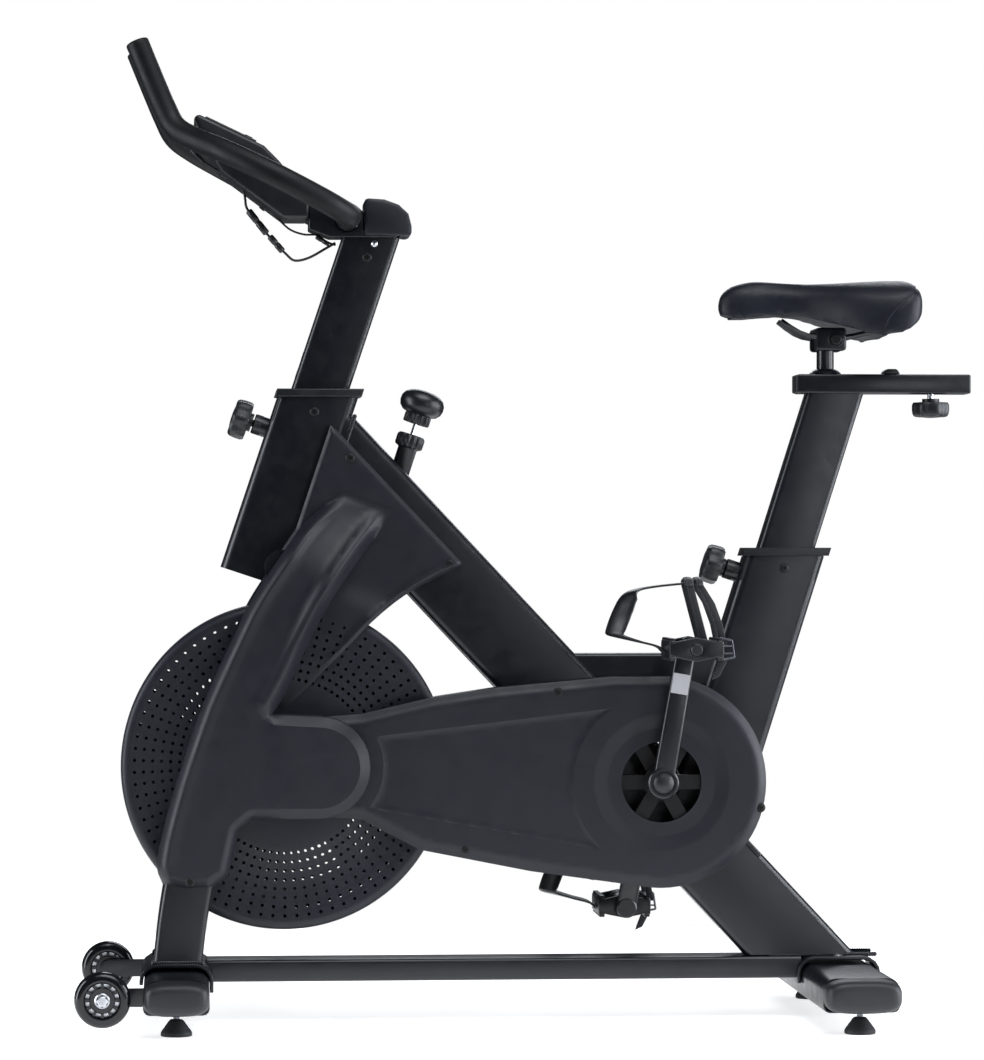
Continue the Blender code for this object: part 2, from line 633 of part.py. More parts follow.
belt_low = -BELT_Y - BELT_WIDTH / 2
belt_high = -BELT_Y + BELT_WIDTH / 2
small_pulley = turned([(AXLE_RADIUS + GAP, 0.0060), (SMALL_PULLEY_RADIUS, 0.0060),
                       (SMALL_PULLEY_RADIUS, -0.0060),
                       (0.0200, -0.0060), (0.0200, -0.0355), (AXLE_RADIUS + GAP, -0.0355)],
                      flywheel_place(-BELT_Y), flywheel_place(-1), 24, ring=True)
named(small_pulley, "flywheel_pulley", "alloy", flywheel_place(-BELT_Y))

SPINDLE_RADIUS = 0.0085
PULLEY_HUB = 0.022
big_pulley = turned([(0.086, 0.0060), (BIG_PULLEY_RADIUS, 0.0060), (BIG_PULLEY_RADIUS, -0.0060),
                     (0.086, -0.0060)],
                    crank_place(-BELT_Y), crank_place(-1), 36, ring=True)
pulley_hub = turned([(SPINDLE_RADIUS + GAP, 0.0070), (PULLEY_HUB, 0.0070), (PULLEY_HUB, -0.0070),
                     (SPINDLE_RADIUS + GAP, -0.0070)],
                    crank_place(-BELT_Y), crank_place(-1), 20, ring=True)
big_pulley = join(big_pulley, pulley_hub)
PULLEY_SPOKES = 6
for i in range(PULLEY_SPOKES):
    angle = 2 * math.pi * i / PULLEY_SPOKES
    near = 0.018
    far = 0.090
    half = 0.009
    out = Vector((math.cos(angle), math.sin(angle)))
    side = Vector((-out.y, out.x))
    middle = Vector(CRANK_AXIS)
    arm = [middle + out * r + side * s for r, s in ((near, -half), (far, -half), (far, half), (near, half))]
    big_pulley = join(big_pulley, prism([tuple(p) for p in arm], -BELT_Y - 0.004, -BELT_Y + 0.004))
named(big_pulley, "crank_pulley", "alloy", crank_place(-BELT_Y))


def belt_loop(grow):
    """Outline of the belt round both pulleys, a distance outside them."""
    big = BIG_PULLEY_RADIUS + grow
    small = SMALL_PULLEY_RADIUS + grow
    run = Vector(CRANK_AXIS) - Vector(FLYWHEEL_AXIS)
    lean = math.degrees(math.atan2(run.y, run.x))
    wrap = math.degrees(math.acos((big - small) / run.length))
    return (arc(CRANK_AXIS, big, lean - (180 - wrap), lean + (180 - wrap), 26)
            + arc(FLYWHEEL_AXIS, small, lean + (180 - wrap), lean + 360 - (180 - wrap), 10))


belt = cut(prism(belt_loop(GAP + BELT_THICKNESS), belt_low, belt_high),
           prism(belt_loop(GAP), belt_low - 0.01, belt_high + 0.01))
named(belt, "drive_belt", "belt")

spindle = across(CRANK_AXIS, -0.0920, 0.0920, SPINDLE_RADIUS, 20)
named(spindle, "crank_spindle", "steel", crank_place(0))

PEDAL_Y = (0.0960, 0.1880)


def crank_arm(angle):
    """The left crank, turned back from straight up by an angle."""
    eye = (CRANK_AXIS[0] + CRANK_LENGTH * math.sin(angle), CRANK_AXIS[1] + CRANK_LENGTH * math.cos(angle))
    out = Vector((math.sin(angle), math.cos(angle)))
    side = Vector((out.y, -out.x))
    base, tip = Vector(CRANK_AXIS), Vector(eye)
    blade = [base + side * 0.0125, tip + side * 0.0098, tip - side * 0.0098, base - side * 0.0125]
    arm = prism([tuple(p) for p in blade], -CRANK_Y[1], -CRANK_Y[0])
    arm = rounded(arm, 0.0035, 2)
    arm = join(arm, across(CRANK_AXIS, -0.0900, -0.0700, 0.0190, 24),
               across(eye, -CRANK_Y[1] - 0.001, -CRANK_Y[0] + 0.001, 0.0125, 20))
    arm = cut(arm, across(CRANK_AXIS, -0.0930, -0.0600, SPINDLE_RADIUS + GAP, 20))
    return join(arm, across(eye, -PEDAL_Y[1], -CRANK_Y[1], 0.0060, 12)), eye


def pedal_body(eye):
    x, z = eye
    body = rounded(box((x - 0.034, -PEDAL_Y[1] - 0.003, z - 0.0125),
                       (x + 0.034, -PEDAL_Y[0], z + 0.0125)), 0.004)
    window = box((x - 0.026, -PEDAL_Y[1] + 0.008, z - 0.02), (x - 0.012, -PEDAL_Y[0] - 0.012, z + 0.02))
    window_back = box((x + 0.012, -PEDAL_Y[1] + 0.008, z - 0.02),
                      (x + 0.026, -PEDAL_Y[0] - 0.012, z + 0.02))
    bore = across(eye, -PEDAL_Y[1] - GAP, -PEDAL_Y[0] + 0.01, 0.0060 + GAP, 12)
    return cut(body, window, window_back, bore)


CAGE_PATH = [(-0.0385, 0.0100), (-0.0385, -0.0080), (-0.0600, -0.0060), (-0.0960, 0.0060),
             (-0.1020, 0.0120), (-0.0960, 0.0280), (-0.0830, 0.0500), (-0.0700, 0.0630),
             (-0.0400, 0.0665), (0.0000, 0.0680), (0.0120, 0.0620), (0.0200, 0.0420), (0.0300, 0.0220),
             (0.0385, 0.0120), (0.0385, -0.0100)]


def toe_cage(eye):
    """Toe clip and strap: a hoop in front of and over the shoe, closed by the strap."""
    x, z = eye
    path = [(x + dx, z + dz) for dx, dz in CAGE_PATH]
    return prism(ribbon(path, 0.0036), -0.1680, -0.1120)


for side, angle in (("left", CRANK_ANGLE), ("right", CRANK_ANGLE + math.pi)):
    arm, eye = crank_arm(angle)
    pieces = [(arm, "crank_" + side, "alloy"), (pedal_body(eye), "pedal_" + side, "black_plastic"),
              (toe_cage(eye), "toe_cage_" + side, "black_plastic")]
    for piece, name, kind in pieces:
        if side == "right":
            original = piece
            piece = mirrored(original)
            bpy.data.objects.remove(original, do_unlink=True)
        sign = 1 if side == "right" else -1
        place = crank_place(0) if name.startswith("crank") else (eye[0], sign * PEDAL_Y[0], eye[1])
        named(piece, name, kind, place)

# ---------------------------------------------------------------- brake
PAD_GAP = 0.0060                  # between the pad and the rim with the brake off
ROD_RADIUS = 0.0025
brake_way = Vector((math.sin(BRAKE_TILT), math.cos(BRAKE_TILT)))
pad_along = FLYWHEEL_RADIUS - (Vector(BRAKE_AXIS) - Vector(FLYWHEEL_AXIS)).dot(brake_way)
knob_profile = [(0, 0.0175), (0.0170, 0.0150), (0.0265, 0.0060), (0.0275, -0.0020), (0.0230, -0.0100),
                (0.0160, -0.0140), (0.0160, -0.0255)]
knob_bore = [(ROD_RADIUS + GAP, -0.0255), (ROD_RADIUS + GAP, 0.0060), (0, 0.0060)]
brake_knob = turned(knob_profile + knob_bore, brake_point(0), brake_point(1), 24)
named(brake_knob, "brake_knob", "black_plastic", brake_point(0))

rod = cylinder(brake_point(pad_along + PAD_GAP + 0.0020), brake_point(0.0055), ROD_RADIUS, 12)
pad_x, pad_z = on_tilt(BRAKE_AXIS, BRAKE_TILT, pad_along + 0.0065)
pad = prism([on_tilt((pad_x, pad_z), BRAKE_TILT, up, back) for up, back in
             ((-0.013, -0.034), (-0.013, 0.022), (0.006, 0.022), (0.006, -0.034))], -0.011, 0.011)
pad = cut(pad, across(FLYWHEEL_AXIS, -0.03, 0.03, FLYWHEEL_RADIUS + PAD_GAP, 64))
named(join(pad, rod), "brake_rod", "steel", brake_point(0))

# The sleeve stands where the rod's axis leaves the upper face of the down tube.
tube_normal = Vector((math.sin(DOWN_TUBE_SLOPE), math.cos(DOWN_TUBE_SLOPE)))
knob_height = (Vector(BRAKE_AXIS) - Vector(DOWN_TUBE_POINT)).dot(tube_normal)
sleeve_bottom = (DOWN_TUBE_DEPTH / 2 - knob_height) / math.cos(BRAKE_TILT - DOWN_TUBE_SLOPE)
SLEEVE_CUT = 0.030                # the sleeve is made longer than it stands, then cut to the tube
brake_sleeve = turned([(ROD_RADIUS + 0.0010, -0.0400), (0.0165, -0.0400), (0.0175, -0.0430),
                       (0.0175, -0.0560), (0.0120, -0.0580),
                       (0.0120, sleeve_bottom - SLEEVE_CUT), (ROD_RADIUS + 0.0010,
                                                              sleeve_bottom - SLEEVE_CUT)],
                      brake_point(0), brake_point(1), 20, ring=True)
down_tube_top = prism([offset_line(DOWN_TUBE_POINT, DOWN_TUBE_SLOPE, d, s) for d, s in
                       ((-0.3, DOWN_TUBE_DEPTH / 2 + GAP), (0.1, DOWN_TUBE_DEPTH / 2 + GAP), (0.1, -0.3),
                        (-0.3, -0.3))], -0.1, 0.1)
named(cut(brake_sleeve, down_tube_top), "brake_sleeve", "black_plastic")


# ---------------------------------------------------------------- covers
def shroud_half():
    """Left half of the flywheel shroud: a pan with a rolled rim, open at the hub and for the brake."""
    outer = [(0.040, SHROUD_HALF_WIDTH), (0.187, SHROUD_HALF_WIDTH), (0.198, SHROUD_HALF_WIDTH - 0.005),
             (SHROUD_RADIUS, 0.0300), (SHROUD_RADIUS, GAP)]
    inner = [(max(r - SKIN, 0.040) if r > 0.19 else r, h - SKIN if h > 0.03 else h) for r, h in outer]
    profile = outer + inner[::-1]
    half = turned(profile, flywheel_place(0), flywheel_place(-1), 40, ring=True)
    return cut(half, cylinder(brake_point(pad_along - 0.02), brake_point(pad_along + 0.08), 0.0085, 16))


shroud = shroud_half()
named(mirrored(shroud), "shroud_right", "cover_plastic")
named(shroud, "shroud_left", "cover_plastic")


def pan(outline, inner_outline, y_outer, y_inner):
    """A moulded cover: an outline with a skin on the outside, open towards the frame."""
    shell = rounded(prism(outline, -y_outer, -y_inner + 0.01), 0.0030, 2, 60)
    frame_side = box((-1.0, -y_inner, -1.0), (1.0, 0.1, 2.0))
    return cut(shell, prism(inner_outline, -y_outer + SKIN, -y_inner + 0.02), frame_side)


def shrunk(outline, inset):
    """The same outline moved in by a wall's thickness."""
    count = len(outline)
    following = outline[1:] + outline[:1]
    area = sum(a[0] * b[1] - b[0] * a[1] for a, b in zip(outline, following))
    turn = 1 if area > 0 else -1
    result = []
    for i in range(count):
        before = (Vector(outline[i]) - Vector(outline[i - 1])).normalized()
        after = (Vector(outline[(i + 1) % count]) - Vector(outline[i])).normalized()
        normal = (Vector((-before.y, before.x)) + Vector((-after.y, after.x))) * turn
        spread = max(normal.length_squared / 2, 0.35)
        result.append(tuple(Vector(outline[i]) + normal * inset / spread))
    return result


BELT_COVER_RADIUS = 0.1318
belt_cover_outline = ([(-0.3430, 0.3500), (-0.3100, 0.3760), (-0.2100, 0.3835), (-0.1215, 0.4041),
                       (-0.0469, 0.4153), (0.1000, 0.4290)]
                      + arc(CRANK_AXIS, BELT_COVER_RADIUS, 84, -95, 24)
                      + [(0.0000, 0.1880), (-0.1364, 0.2150), (-0.2100, 0.2530), (-0.3100, 0.2620),
                         (-0.3430, 0.2880)])
BELT_COVER_EDGE = 0.0300
belt_cover = pan(belt_cover_outline, shrunk(belt_cover_outline, SKIN), BELT_COVER_Y, BELT_COVER_EDGE)
shroud_space = across(FLYWHEEL_AXIS, -SHROUD_HALF_WIDTH - 0.0015, 0.05, SHROUD_RADIUS + 0.0010, 48)
belt_cover = cut(belt_cover, shroud_space, across(CRANK_AXIS, -0.1, -0.04, 0.050, 32),
                 across(FLYWHEEL_AXIS, -0.1, -0.06, 0.016, 16))
brace_space = prism([(0.0, BRACE_Z[0] - 0.002), (0.32, BRACE_Z[0] - 0.002), (0.32, BRACE_Z[1] + 0.002),
                     (0.0, BRACE_Z[1] + 0.002)],
                    -0.0195, 0.03)
belt_cover = cut(belt_cover, brace_space)
named(belt_cover, "belt_cover", "cover_plastic")

FORK_COVER_OUTLINE = [(-0.4620, 0.1970), (-0.4560, 0.2350), (-0.4370, 0.3050), (-0.4050, 0.3975),
                      (-0.3700, 0.4750), (-0.3360, 0.5450), (-0.3000, 0.6000), (-0.2450, 0.6380),
                      (-0.1850, 0.6440), (-0.1740, 0.6340), (-0.2084, 0.5814), (-0.2567, 0.5068),
                      (-0.2900, 0.4400), (-0.3120, 0.3960), (-0.3300, 0.3830), (-0.2627, 0.3820)]
PILL_CENTRE = (-0.2627, 0.3184)
PILL_RADIUS = 0.0636
fork_outline = (FORK_COVER_OUTLINE + arc(PILL_CENTRE, PILL_RADIUS, 80, -80, 10)
                + [(-0.2627, 0.2548), (-0.3450, 0.2548), (-0.3620, 0.2400), (-0.3740, 0.1860),
                   (-0.3960, 0.1700), (-0.4300, 0.1680), (-0.4550, 0.1760)])
fork_cover = pan(fork_outline, shrunk(fork_outline, SKIN), FORK_COVER_Y, FRAME_COVER_Y + 0.0015)
fork_cover = cut(fork_cover,
                 across(FLYWHEEL_AXIS, -SHROUD_HALF_WIDTH - 0.0012, 0.05, SHROUD_RADIUS + 0.0015, 48),
                 prism(shrunk(belt_cover_outline, -0.0010), -BELT_COVER_Y - 0.0010, 0.0), leg_block(0.0010))
named(mirrored(fork_cover), "fork_cover_right", "cover_plastic")
named(fork_cover, "fork_cover_left", "cover_plastic")

FRAME_COVER_OUTLINE = [(-0.2473, 0.7419), (-0.2348, 0.7306), (-0.0848, 0.5719), (-0.0848, 0.5669),
                       (-0.1348, 0.5444), (-0.1598, 0.5294), (-0.1848, 0.5044), (-0.2298, 0.4594),
                       (-0.2586, 0.4400), (-0.2900, 0.4500), (-0.3323, 0.5494), (-0.2898, 0.6144)]
frame_cover = prism(FRAME_COVER_OUTLINE, -FRAME_COVER_Y, -SLEEVE_WIDTH / 2 - GAP)
frame_cover = cut(rounded(frame_cover, 0.0030, 2, 60), leg_block(0.0008),
                  across(FLYWHEEL_AXIS, -0.1, 0.1, SHROUD_RADIUS + 0.0015, 48))
named(mirrored(frame_cover), "frame_cover_right", "cover_plastic")
named(frame_cover, "frame_cover_left", "cover_plastic")


# ---------------------------------------------------------------- pull pins and lock knobs
def lobed_outline(radius, depth, lobes, points):
    """Round knob with finger lobes, as (a, b) points."""
    result = []
    for i in range(lobes * points):
        angle = 2 * math.pi * i / (lobes * points)
        reach = radius - depth * (0.5 - 0.5 * math.cos(lobes * angle)) ** 2
        result.append((reach * math.cos(angle), reach * math.sin(angle)))
    return result


KNOB_RADIUS = 0.0250


def lobed_knob(start, end, bore, blind):
    """A lobed knob between two points on its axis, with a hole for its pin in the near face."""
    length = (Vector(end) - Vector(start)).length
    knob = slab(lobed_outline(KNOB_RADIUS, 0.0045, 7, 4), 0.0, length)
    knob = rounded(knob, 0.0030, 1, 60)
    neck = cylinder((0, 0, -0.0030), (0, 0, 0.001), 0.0140, 24)
    knob = join(knob, neck)
    if bore:
        knob = cut(knob, cylinder((0, 0, -0.01), (0, 0, blind), bore, 16))
    knob.data.transform(along(start, end))
    return knob


for label, place in PINS.items():
    base = pin_point(*place, BOSS_LENGTH)
    pin = cylinder(pin_point(*place, -(SLEEVE_DEPTH - POST_DEPTH) / 2 + 0.0006),
                   pin_point(*place, BOSS_LENGTH + 0.0150), PIN_RADIUS, 16)
    named(pin, label + "_lock_pin", "steel", base)
    knob = lobed_knob(pin_point(*place, BOSS_LENGTH + 0.0045), pin_point(*place, BOSS_LENGTH + 0.0280),
                      PIN_RADIUS + GAP, 0.0110)
    named(knob, label + "_lock_knob", "black_plastic", base)

# ---------------------------------------------------------------- posts
def post_with_holes(axis, tilt, z_low, z_high, pin_z, below, above):
    """A post with a row of pin holes in its front face, one of them at the pin."""
    post = prism(leaning_post(axis, tilt, POST_DEPTH, z_low, z_high), -POST_WIDTH / 2, POST_WIDTH / 2)
    post = rounded(post, 0.0040, 2)
    inside = prism(leaning_post(axis, tilt, POST_DEPTH - 2 * WALL, z_low - 0.01, z_high - WALL),
                   -POST_WIDTH / 2 + WALL, POST_WIDTH / 2 - WALL)
    post = cut(post, inside)
    for step in range(-below, above + 1):
        rise = step * 0.025 * math.cos(tilt)
        x, z = leaning(axis, tilt, pin_z)
        centre = on_tilt((x, z), tilt, rise / math.cos(tilt), -POST_DEPTH / 2)
        front = on_tilt(centre, tilt, 0, -0.004)
        back = on_tilt(centre, tilt, 0, 0.004)
        post = cut(post, cylinder((front[0], 0, front[1]), (back[0], 0, back[1]), PIN_RADIUS + 2 * GAP, 8))
    return post


POST_BOTTOM = 0.6450
SEAT_POST_BOTTOM = 0.4250
HEAD_MOUTH = (leaning(HEAD_AXIS, HEAD_TILT, HEAD_TUBE_TOP)[0], 0, HEAD_TUBE_TOP)
SEAT_MOUTH = (leaning(SEAT_AXIS, SEAT_TILT, SEAT_TUBE_TOP)[0], 0, SEAT_TUBE_TOP)
handlebar_post = post_with_holes(HEAD_AXIS, HEAD_TILT, POST_BOTTOM, HANDLEBAR_POST_TOP, HEAD_PIN_Z, 2, 4)
named(handlebar_post, "handlebar_post", "paint", HEAD_MOUTH)
seat_post = post_with_holes(SEAT_AXIS, SEAT_TILT, SEAT_POST_BOTTOM, SEAT_POST_TOP, SEAT_PIN_Z, 4, 6)
named(seat_post, "seat_post", "paint", SEAT_MOUTH)

# ---------------------------------------------------------------- handlebar, clamp, console and lead
BAR_RADIUS = 0.0145
BAR_ROUTE = [(-0.2260, -0.0550, 0.9985), (-0.2255, -0.0850, 0.9985), (-0.2330, -0.1100, 1.0005),
             (-0.2620, -0.1320, 1.0150), (-0.3200, -0.1420, 1.0440), (-0.3800, -0.1180, 1.0740),
             (-0.4170, -0.0850, 1.0920), (-0.4400, -0.0680, 1.1080), (-0.4530, -0.0600, 1.1320),
             (-0.4700, -0.0560, 1.1720), (-0.4880, -0.0540, 1.2160)]
near_side = smooth_path(BAR_ROUTE, 2)
far_side = [Vector((p.x, -p.y, p.z)) for p in near_side]
middle = [Vector((-0.2260, y, 0.9985)) for y in (-0.028, 0.028)]
bar_points = near_side[::-1] + middle + far_side
named(tube(bar_points, BAR_RADIUS, 2), "handlebar", "foam", HEAD_MOUTH)

CLAMP_LOW = HANDLEBAR_POST_TOP + GAP
clamp = prism([(-0.2740, 0.9860), (-0.2480, CLAMP_LOW), (-0.1640, CLAMP_LOW), (-0.1640, 0.9850),
               (-0.2060, 0.9850),
               (-0.2060, 1.0080), (-0.2160, 1.0170), (-0.2740, 1.0185)], -0.0260, 0.0260)
clamp = cut(clamp, across((-0.2260, 0.9985), -0.05, 0.05, BAR_RADIUS + GAP, 24))
named(clamp, "handlebar_clamp", "paint", HEAD_MOUTH)

cover_outline = [(-0.2050, 0.9775), (-0.1460, 0.9775), (-0.1460, 0.9900), (-0.1500, 1.0060),
                 (-0.1620, 1.0170), (-0.1800, 1.0235), (-0.2050, 1.0250)]
post_cover = rounded(prism(cover_outline, -0.0330, 0.0330), 0.0050, 2, 45)
post_cover = cut(post_cover,
                 prism([(-0.2060, 0.9770), (-0.1600, 0.9770), (-0.1600, 0.9860), (-0.2060, 0.9860)],
                       -0.0265, 0.0265),
                 prism([(-0.21, 0.970), (-0.1555, 0.970), (-0.1555, 0.9780), (-0.21, 0.9780)], -0.03, 0.03))
named(post_cover, "post_cover", "black_plastic", HEAD_MOUTH)

console = prism([(-0.4180, 1.1200), (-0.4120, 1.1270), (-0.3300, 1.0880), (-0.3120, 1.0700),
                 (-0.2745, 1.0250), (-0.2745, 0.9980),
                 (-0.3060, 0.9980), (-0.3490, 1.0300), (-0.3830, 1.0550), (-0.4080, 1.0950)], -0.0480,
                 0.0480)
named(rounded(console, 0.0040, 2, 25), "console", "black_plastic", HEAD_MOUTH)

LEAD_ROUTE = [(-0.3560, 0.0, 1.0310), (-0.3600, -0.004, 1.0120), (-0.3450, -0.008, 0.9900),
              (-0.3200, -0.010, 0.9650), (-0.2980, -0.010, 0.9505), (-0.2720, -0.006, 0.9530),
              (-0.2500, 0.0, 0.9660), (-0.2420, 0.0, 0.9690)]
named(tube(smooth_path(LEAD_ROUTE, 2), 0.0022, 1), "sensor_lead", "rubber", HEAD_MOUTH)

# ---------------------------------------------------------------- seat rail, slider, saddle
rail_half = SEAT_RAIL_WIDTH / 2
seat_rail = rounded(box((SEAT_RAIL_X[0], -rail_half, SEAT_RAIL_Z[0]),
                        (SEAT_RAIL_X[1], rail_half, SEAT_RAIL_Z[1])), 0.0030)
seat_rail = cut(seat_rail,
                box((SEAT_RAIL_X[0] - 0.01, -rail_half + WALL, SEAT_RAIL_Z[0] + WALL),
                    (SEAT_RAIL_X[1] + 0.01, rail_half - WALL, SEAT_RAIL_Z[1] - WALL)),
                box((SEAT_RAIL_X[0] + 0.012, -0.0125, SEAT_RAIL_Z[1] - 0.01),
                    (0.4750, 0.0125, SEAT_RAIL_Z[1] + 0.01)))
SLIDER_KNOB_X = 0.5125
seat_rail = cut(seat_rail, cylinder((SLIDER_KNOB_X, 0, 0.770), (SLIDER_KNOB_X, 0, 0.790), 0.0043, 16))
named(seat_rail, "seat_rail", "paint", SEAT_MOUTH)

STEM_X = SADDLE_PIVOT[0]
STEM_RADIUS = 0.0110
slider = box((0.3480, -rail_half + WALL + GAP, SEAT_RAIL_Z[0] + WALL + GAP),
             (0.5400, rail_half - WALL - GAP, SEAT_RAIL_Z[1] - WALL - GAP))
stem = cylinder((STEM_X, 0, SEAT_RAIL_Z[0] + 0.006), (STEM_X, 0, SADDLE_PIVOT[1] - 0.004), STEM_RADIUS, 20)
stem_head = across(SADDLE_PIVOT, -0.0155, 0.0155, 0.0100, 20)
named(join(slider, stem, stem_head), "seat_slider", "paint", (STEM_X, 0, SEAT_RAIL_Z[1]))

# The clamp: two cheeks beside the head of the stem, a bridge over it, and a cross bolt each side.
CHEEK_Y = (0.0162, 0.0290)
CHEEK_X = (STEM_X - 0.0160, STEM_X + 0.0230)
CHEEK_Z = (SADDLE_PIVOT[1] - 0.0130, SADDLE_PIVOT[1] + 0.0160)
clamp_box = rounded(box((CHEEK_X[0], -CHEEK_Y[1], CHEEK_Z[0]), (CHEEK_X[1], CHEEK_Y[1], CHEEK_Z[1])),
                    0.0040)
clamp_box = cut(clamp_box, box((CHEEK_X[0] - 0.01, -CHEEK_Y[0], CHEEK_Z[0] - 0.01),
                               (CHEEK_X[1] + 0.01, CHEEK_Y[0], SADDLE_PIVOT[1] + 0.0115)))
RAIL_ROD = 0.0036
rail_route = [(0.3200, 0.0140, 0.8750), (0.3420, 0.0200, 0.8600), (0.3640, 0.0235, 0.8540),
              (0.3980, 0.0235, 0.8540), (0.4200, 0.0300, 0.8580), (0.4450, 0.0400, 0.8640)]
for side in (-1, 1):
    rod_points = [(x, side * y, z) for x, y, z in rail_route]
    clamp_box = join(clamp_box, tube(smooth_path(rod_points, 2), RAIL_ROD, 1))
named(clamp_box, "saddle_clamp", "steel", (SADDLE_PIVOT[0], 0, SADDLE_PIVOT[1]))

side_outline = [(0.2400, 0.8850), (0.2440, 0.9050), (0.2600, 0.9180), (0.2950, 0.9205),
                (0.3500, 0.9180), (0.4250, 0.9210), (0.4800, 0.9205), (0.4930, 0.9050),
                (0.4950, 0.8880), (0.4850, 0.8720), (0.4520, 0.8700), (0.4000, 0.8680),
                (0.3600, 0.8730), (0.3200, 0.8800), (0.2440, 0.8790)]
half_plan = [(0.2360, 0.0180), (0.2600, 0.0270), (0.3100, 0.0340), (0.3500, 0.0460), (0.3900, 0.0700),
             (0.4300, 0.0920), (0.4650, 0.1000), (0.4880, 0.0930), (0.4980, 0.0700)]
plan = half_plan + [(x, -y) for x, y in reversed(half_plan)]
saddle = common(prism(side_outline, -0.11, 0.11), slab(plan, 0.80, 0.95))
named(rounded(saddle, 0.0080, 2, 35), "saddle", "leatherette", (SADDLE_PIVOT[0], 0, SADDLE_PIVOT[1]))

knob_top = (SLIDER_KNOB_X, 0, 0.7760)
slider_knob = lobed_knob(knob_top, (SLIDER_KNOB_X, 0, 0.7540), 0, 0)
screw = cylinder((SLIDER_KNOB_X, 0, 0.7600), (SLIDER_KNOB_X, 0, SEAT_RAIL_Z[0] + WALL - GAP / 2), 0.0040,
                 16)
named(join(slider_knob, screw), "slider_lock_knob", "black_plastic", knob_top)
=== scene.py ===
"""Looks of the exercise bike: painted steel frame, moulded covers, foam bar, padded saddle.

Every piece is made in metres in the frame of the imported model. The wheel end points to -X,
the belt side, the rider's left, to -Y, and the floor is z = 0. Places in the plane of the
frame are (x, z) pairs.
"""
import math

import bmesh
import bpy
import numpy as np
from mathutils import Matrix, Vector
from mathutils.geometry import delaunay_2d_cdt


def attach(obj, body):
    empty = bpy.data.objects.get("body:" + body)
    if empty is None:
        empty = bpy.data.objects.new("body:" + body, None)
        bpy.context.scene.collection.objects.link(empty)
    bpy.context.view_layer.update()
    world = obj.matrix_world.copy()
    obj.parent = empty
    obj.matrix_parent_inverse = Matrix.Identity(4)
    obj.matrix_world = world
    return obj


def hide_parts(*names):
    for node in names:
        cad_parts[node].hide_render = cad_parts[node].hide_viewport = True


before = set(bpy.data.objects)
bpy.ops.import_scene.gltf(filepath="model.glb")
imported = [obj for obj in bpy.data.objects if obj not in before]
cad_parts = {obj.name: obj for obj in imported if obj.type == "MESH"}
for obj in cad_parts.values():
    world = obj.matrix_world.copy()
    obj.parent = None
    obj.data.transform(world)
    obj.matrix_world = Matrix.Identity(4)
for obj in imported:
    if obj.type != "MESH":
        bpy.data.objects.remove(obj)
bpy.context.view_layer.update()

# ---------------------------------------------------------------- driving dimensions
CRANK_AXIS = (0.163, 0.298)
CRANK_LENGTH = 0.170
CRANK_ANGLE = math.radians(9.8)
FLYWHEEL_AXIS = (-0.304, 0.319)
SHROUD_RADIUS = 0.203
SHROUD_FACE = 0.045               # outer face of the shroud, out from the frame's plane
SKIN = 0.0022                     # moulded cover wall
BELT_COVER_FACE = 0.0680
FORK_COVER_FACE = 0.0940
FRAME_COVER_FACE = 0.0400
HEAD_TILT = math.radians(18.4)
HEAD_AXIS = (-0.3379, 0.5504)     # a point on the head tube's axis
SEAT_TILT = math.radians(17.6)
SEAT_AXIS = (0.3838, 0.7675)
SLEEVE_DEPTH = 0.096              # head and seat tubes, fore and aft
SLEEVE_WIDTH = 0.052              # head and seat tubes, across
SLEEVE_CORNER = 0.0115
POST_DEPTH = 0.069
POST_WIDTH = 0.034
DOWN_TUBE_POINT = (-0.0712, 0.5216)
DOWN_TUBE_SLOPE = math.radians(46.9)
DOWN_TUBE_DEPTH = 0.102
BRAKE_AXIS = (-0.1316, 0.7688)
BRAKE_TILT = math.radians(18.2)
FRONT_FOOT_X = -0.438
REAR_FOOT_X = 0.389
STABILIZER_LOW = 0.0265
STABILIZER_HEIGHT = 0.042
CAP_LENGTH = 0.030
PEDAL_MIDDLE = -0.140             # centre of the left pedal, across the frame
WHEEL_AXIS = (-0.5265, 0.0472)
WHEEL_RADIUS = 0.0340
WHEEL_Y = 0.200
SADDLE_PIVOT = (0.3780, 0.8500)
BAR_RADIUS = 0.0145
SCREW_RADIUS = 0.0062
FLOOR_RADIUS = 1.3                # small, so that dark paint does not mirror a bright floor

# ---------------------------------------------------------------- camera, light and floor
camera_data = bpy.data.cameras.new("camera")
camera_data.lens = 144.3
camera_data.sensor_width = 36
camera = bpy.data.objects.new("camera", camera_data)
camera.location = (-0.4334, -5.3160, 0.5871)
camera.rotation_euler = (math.pi / 2 + 0.00461, 0, -0.07321)
bpy.context.collection.objects.link(camera)
bpy.context.scene.camera = camera
bpy.context.scene.view_settings.view_transform = "Standard"


def hex_colour(code):
    """Linear RGBA from an sRGB hex code."""
    parts = [int(code[i:i + 2], 16) / 255 for i in (1, 3, 5)]
    linear = [c / 12.92 if c <= 0.04045 else ((c + 0.055) / 1.055) ** 2.4 for c in parts]
    return (*linear, 1)


def add_node(tree, kind, links=None, **settings):
    """Add a node, set its own settings, and fill or link its sockets by name or number."""
    node = tree.nodes.new(kind)
    for key, value in settings.items():
        setattr(node, key, value)
    for socket, value in (links or {}).items():
        if isinstance(value, bpy.types.NodeSocket):
            tree.links.new(value, node.inputs[socket])
        else:
            node.inputs[socket].default_value = value
    return node


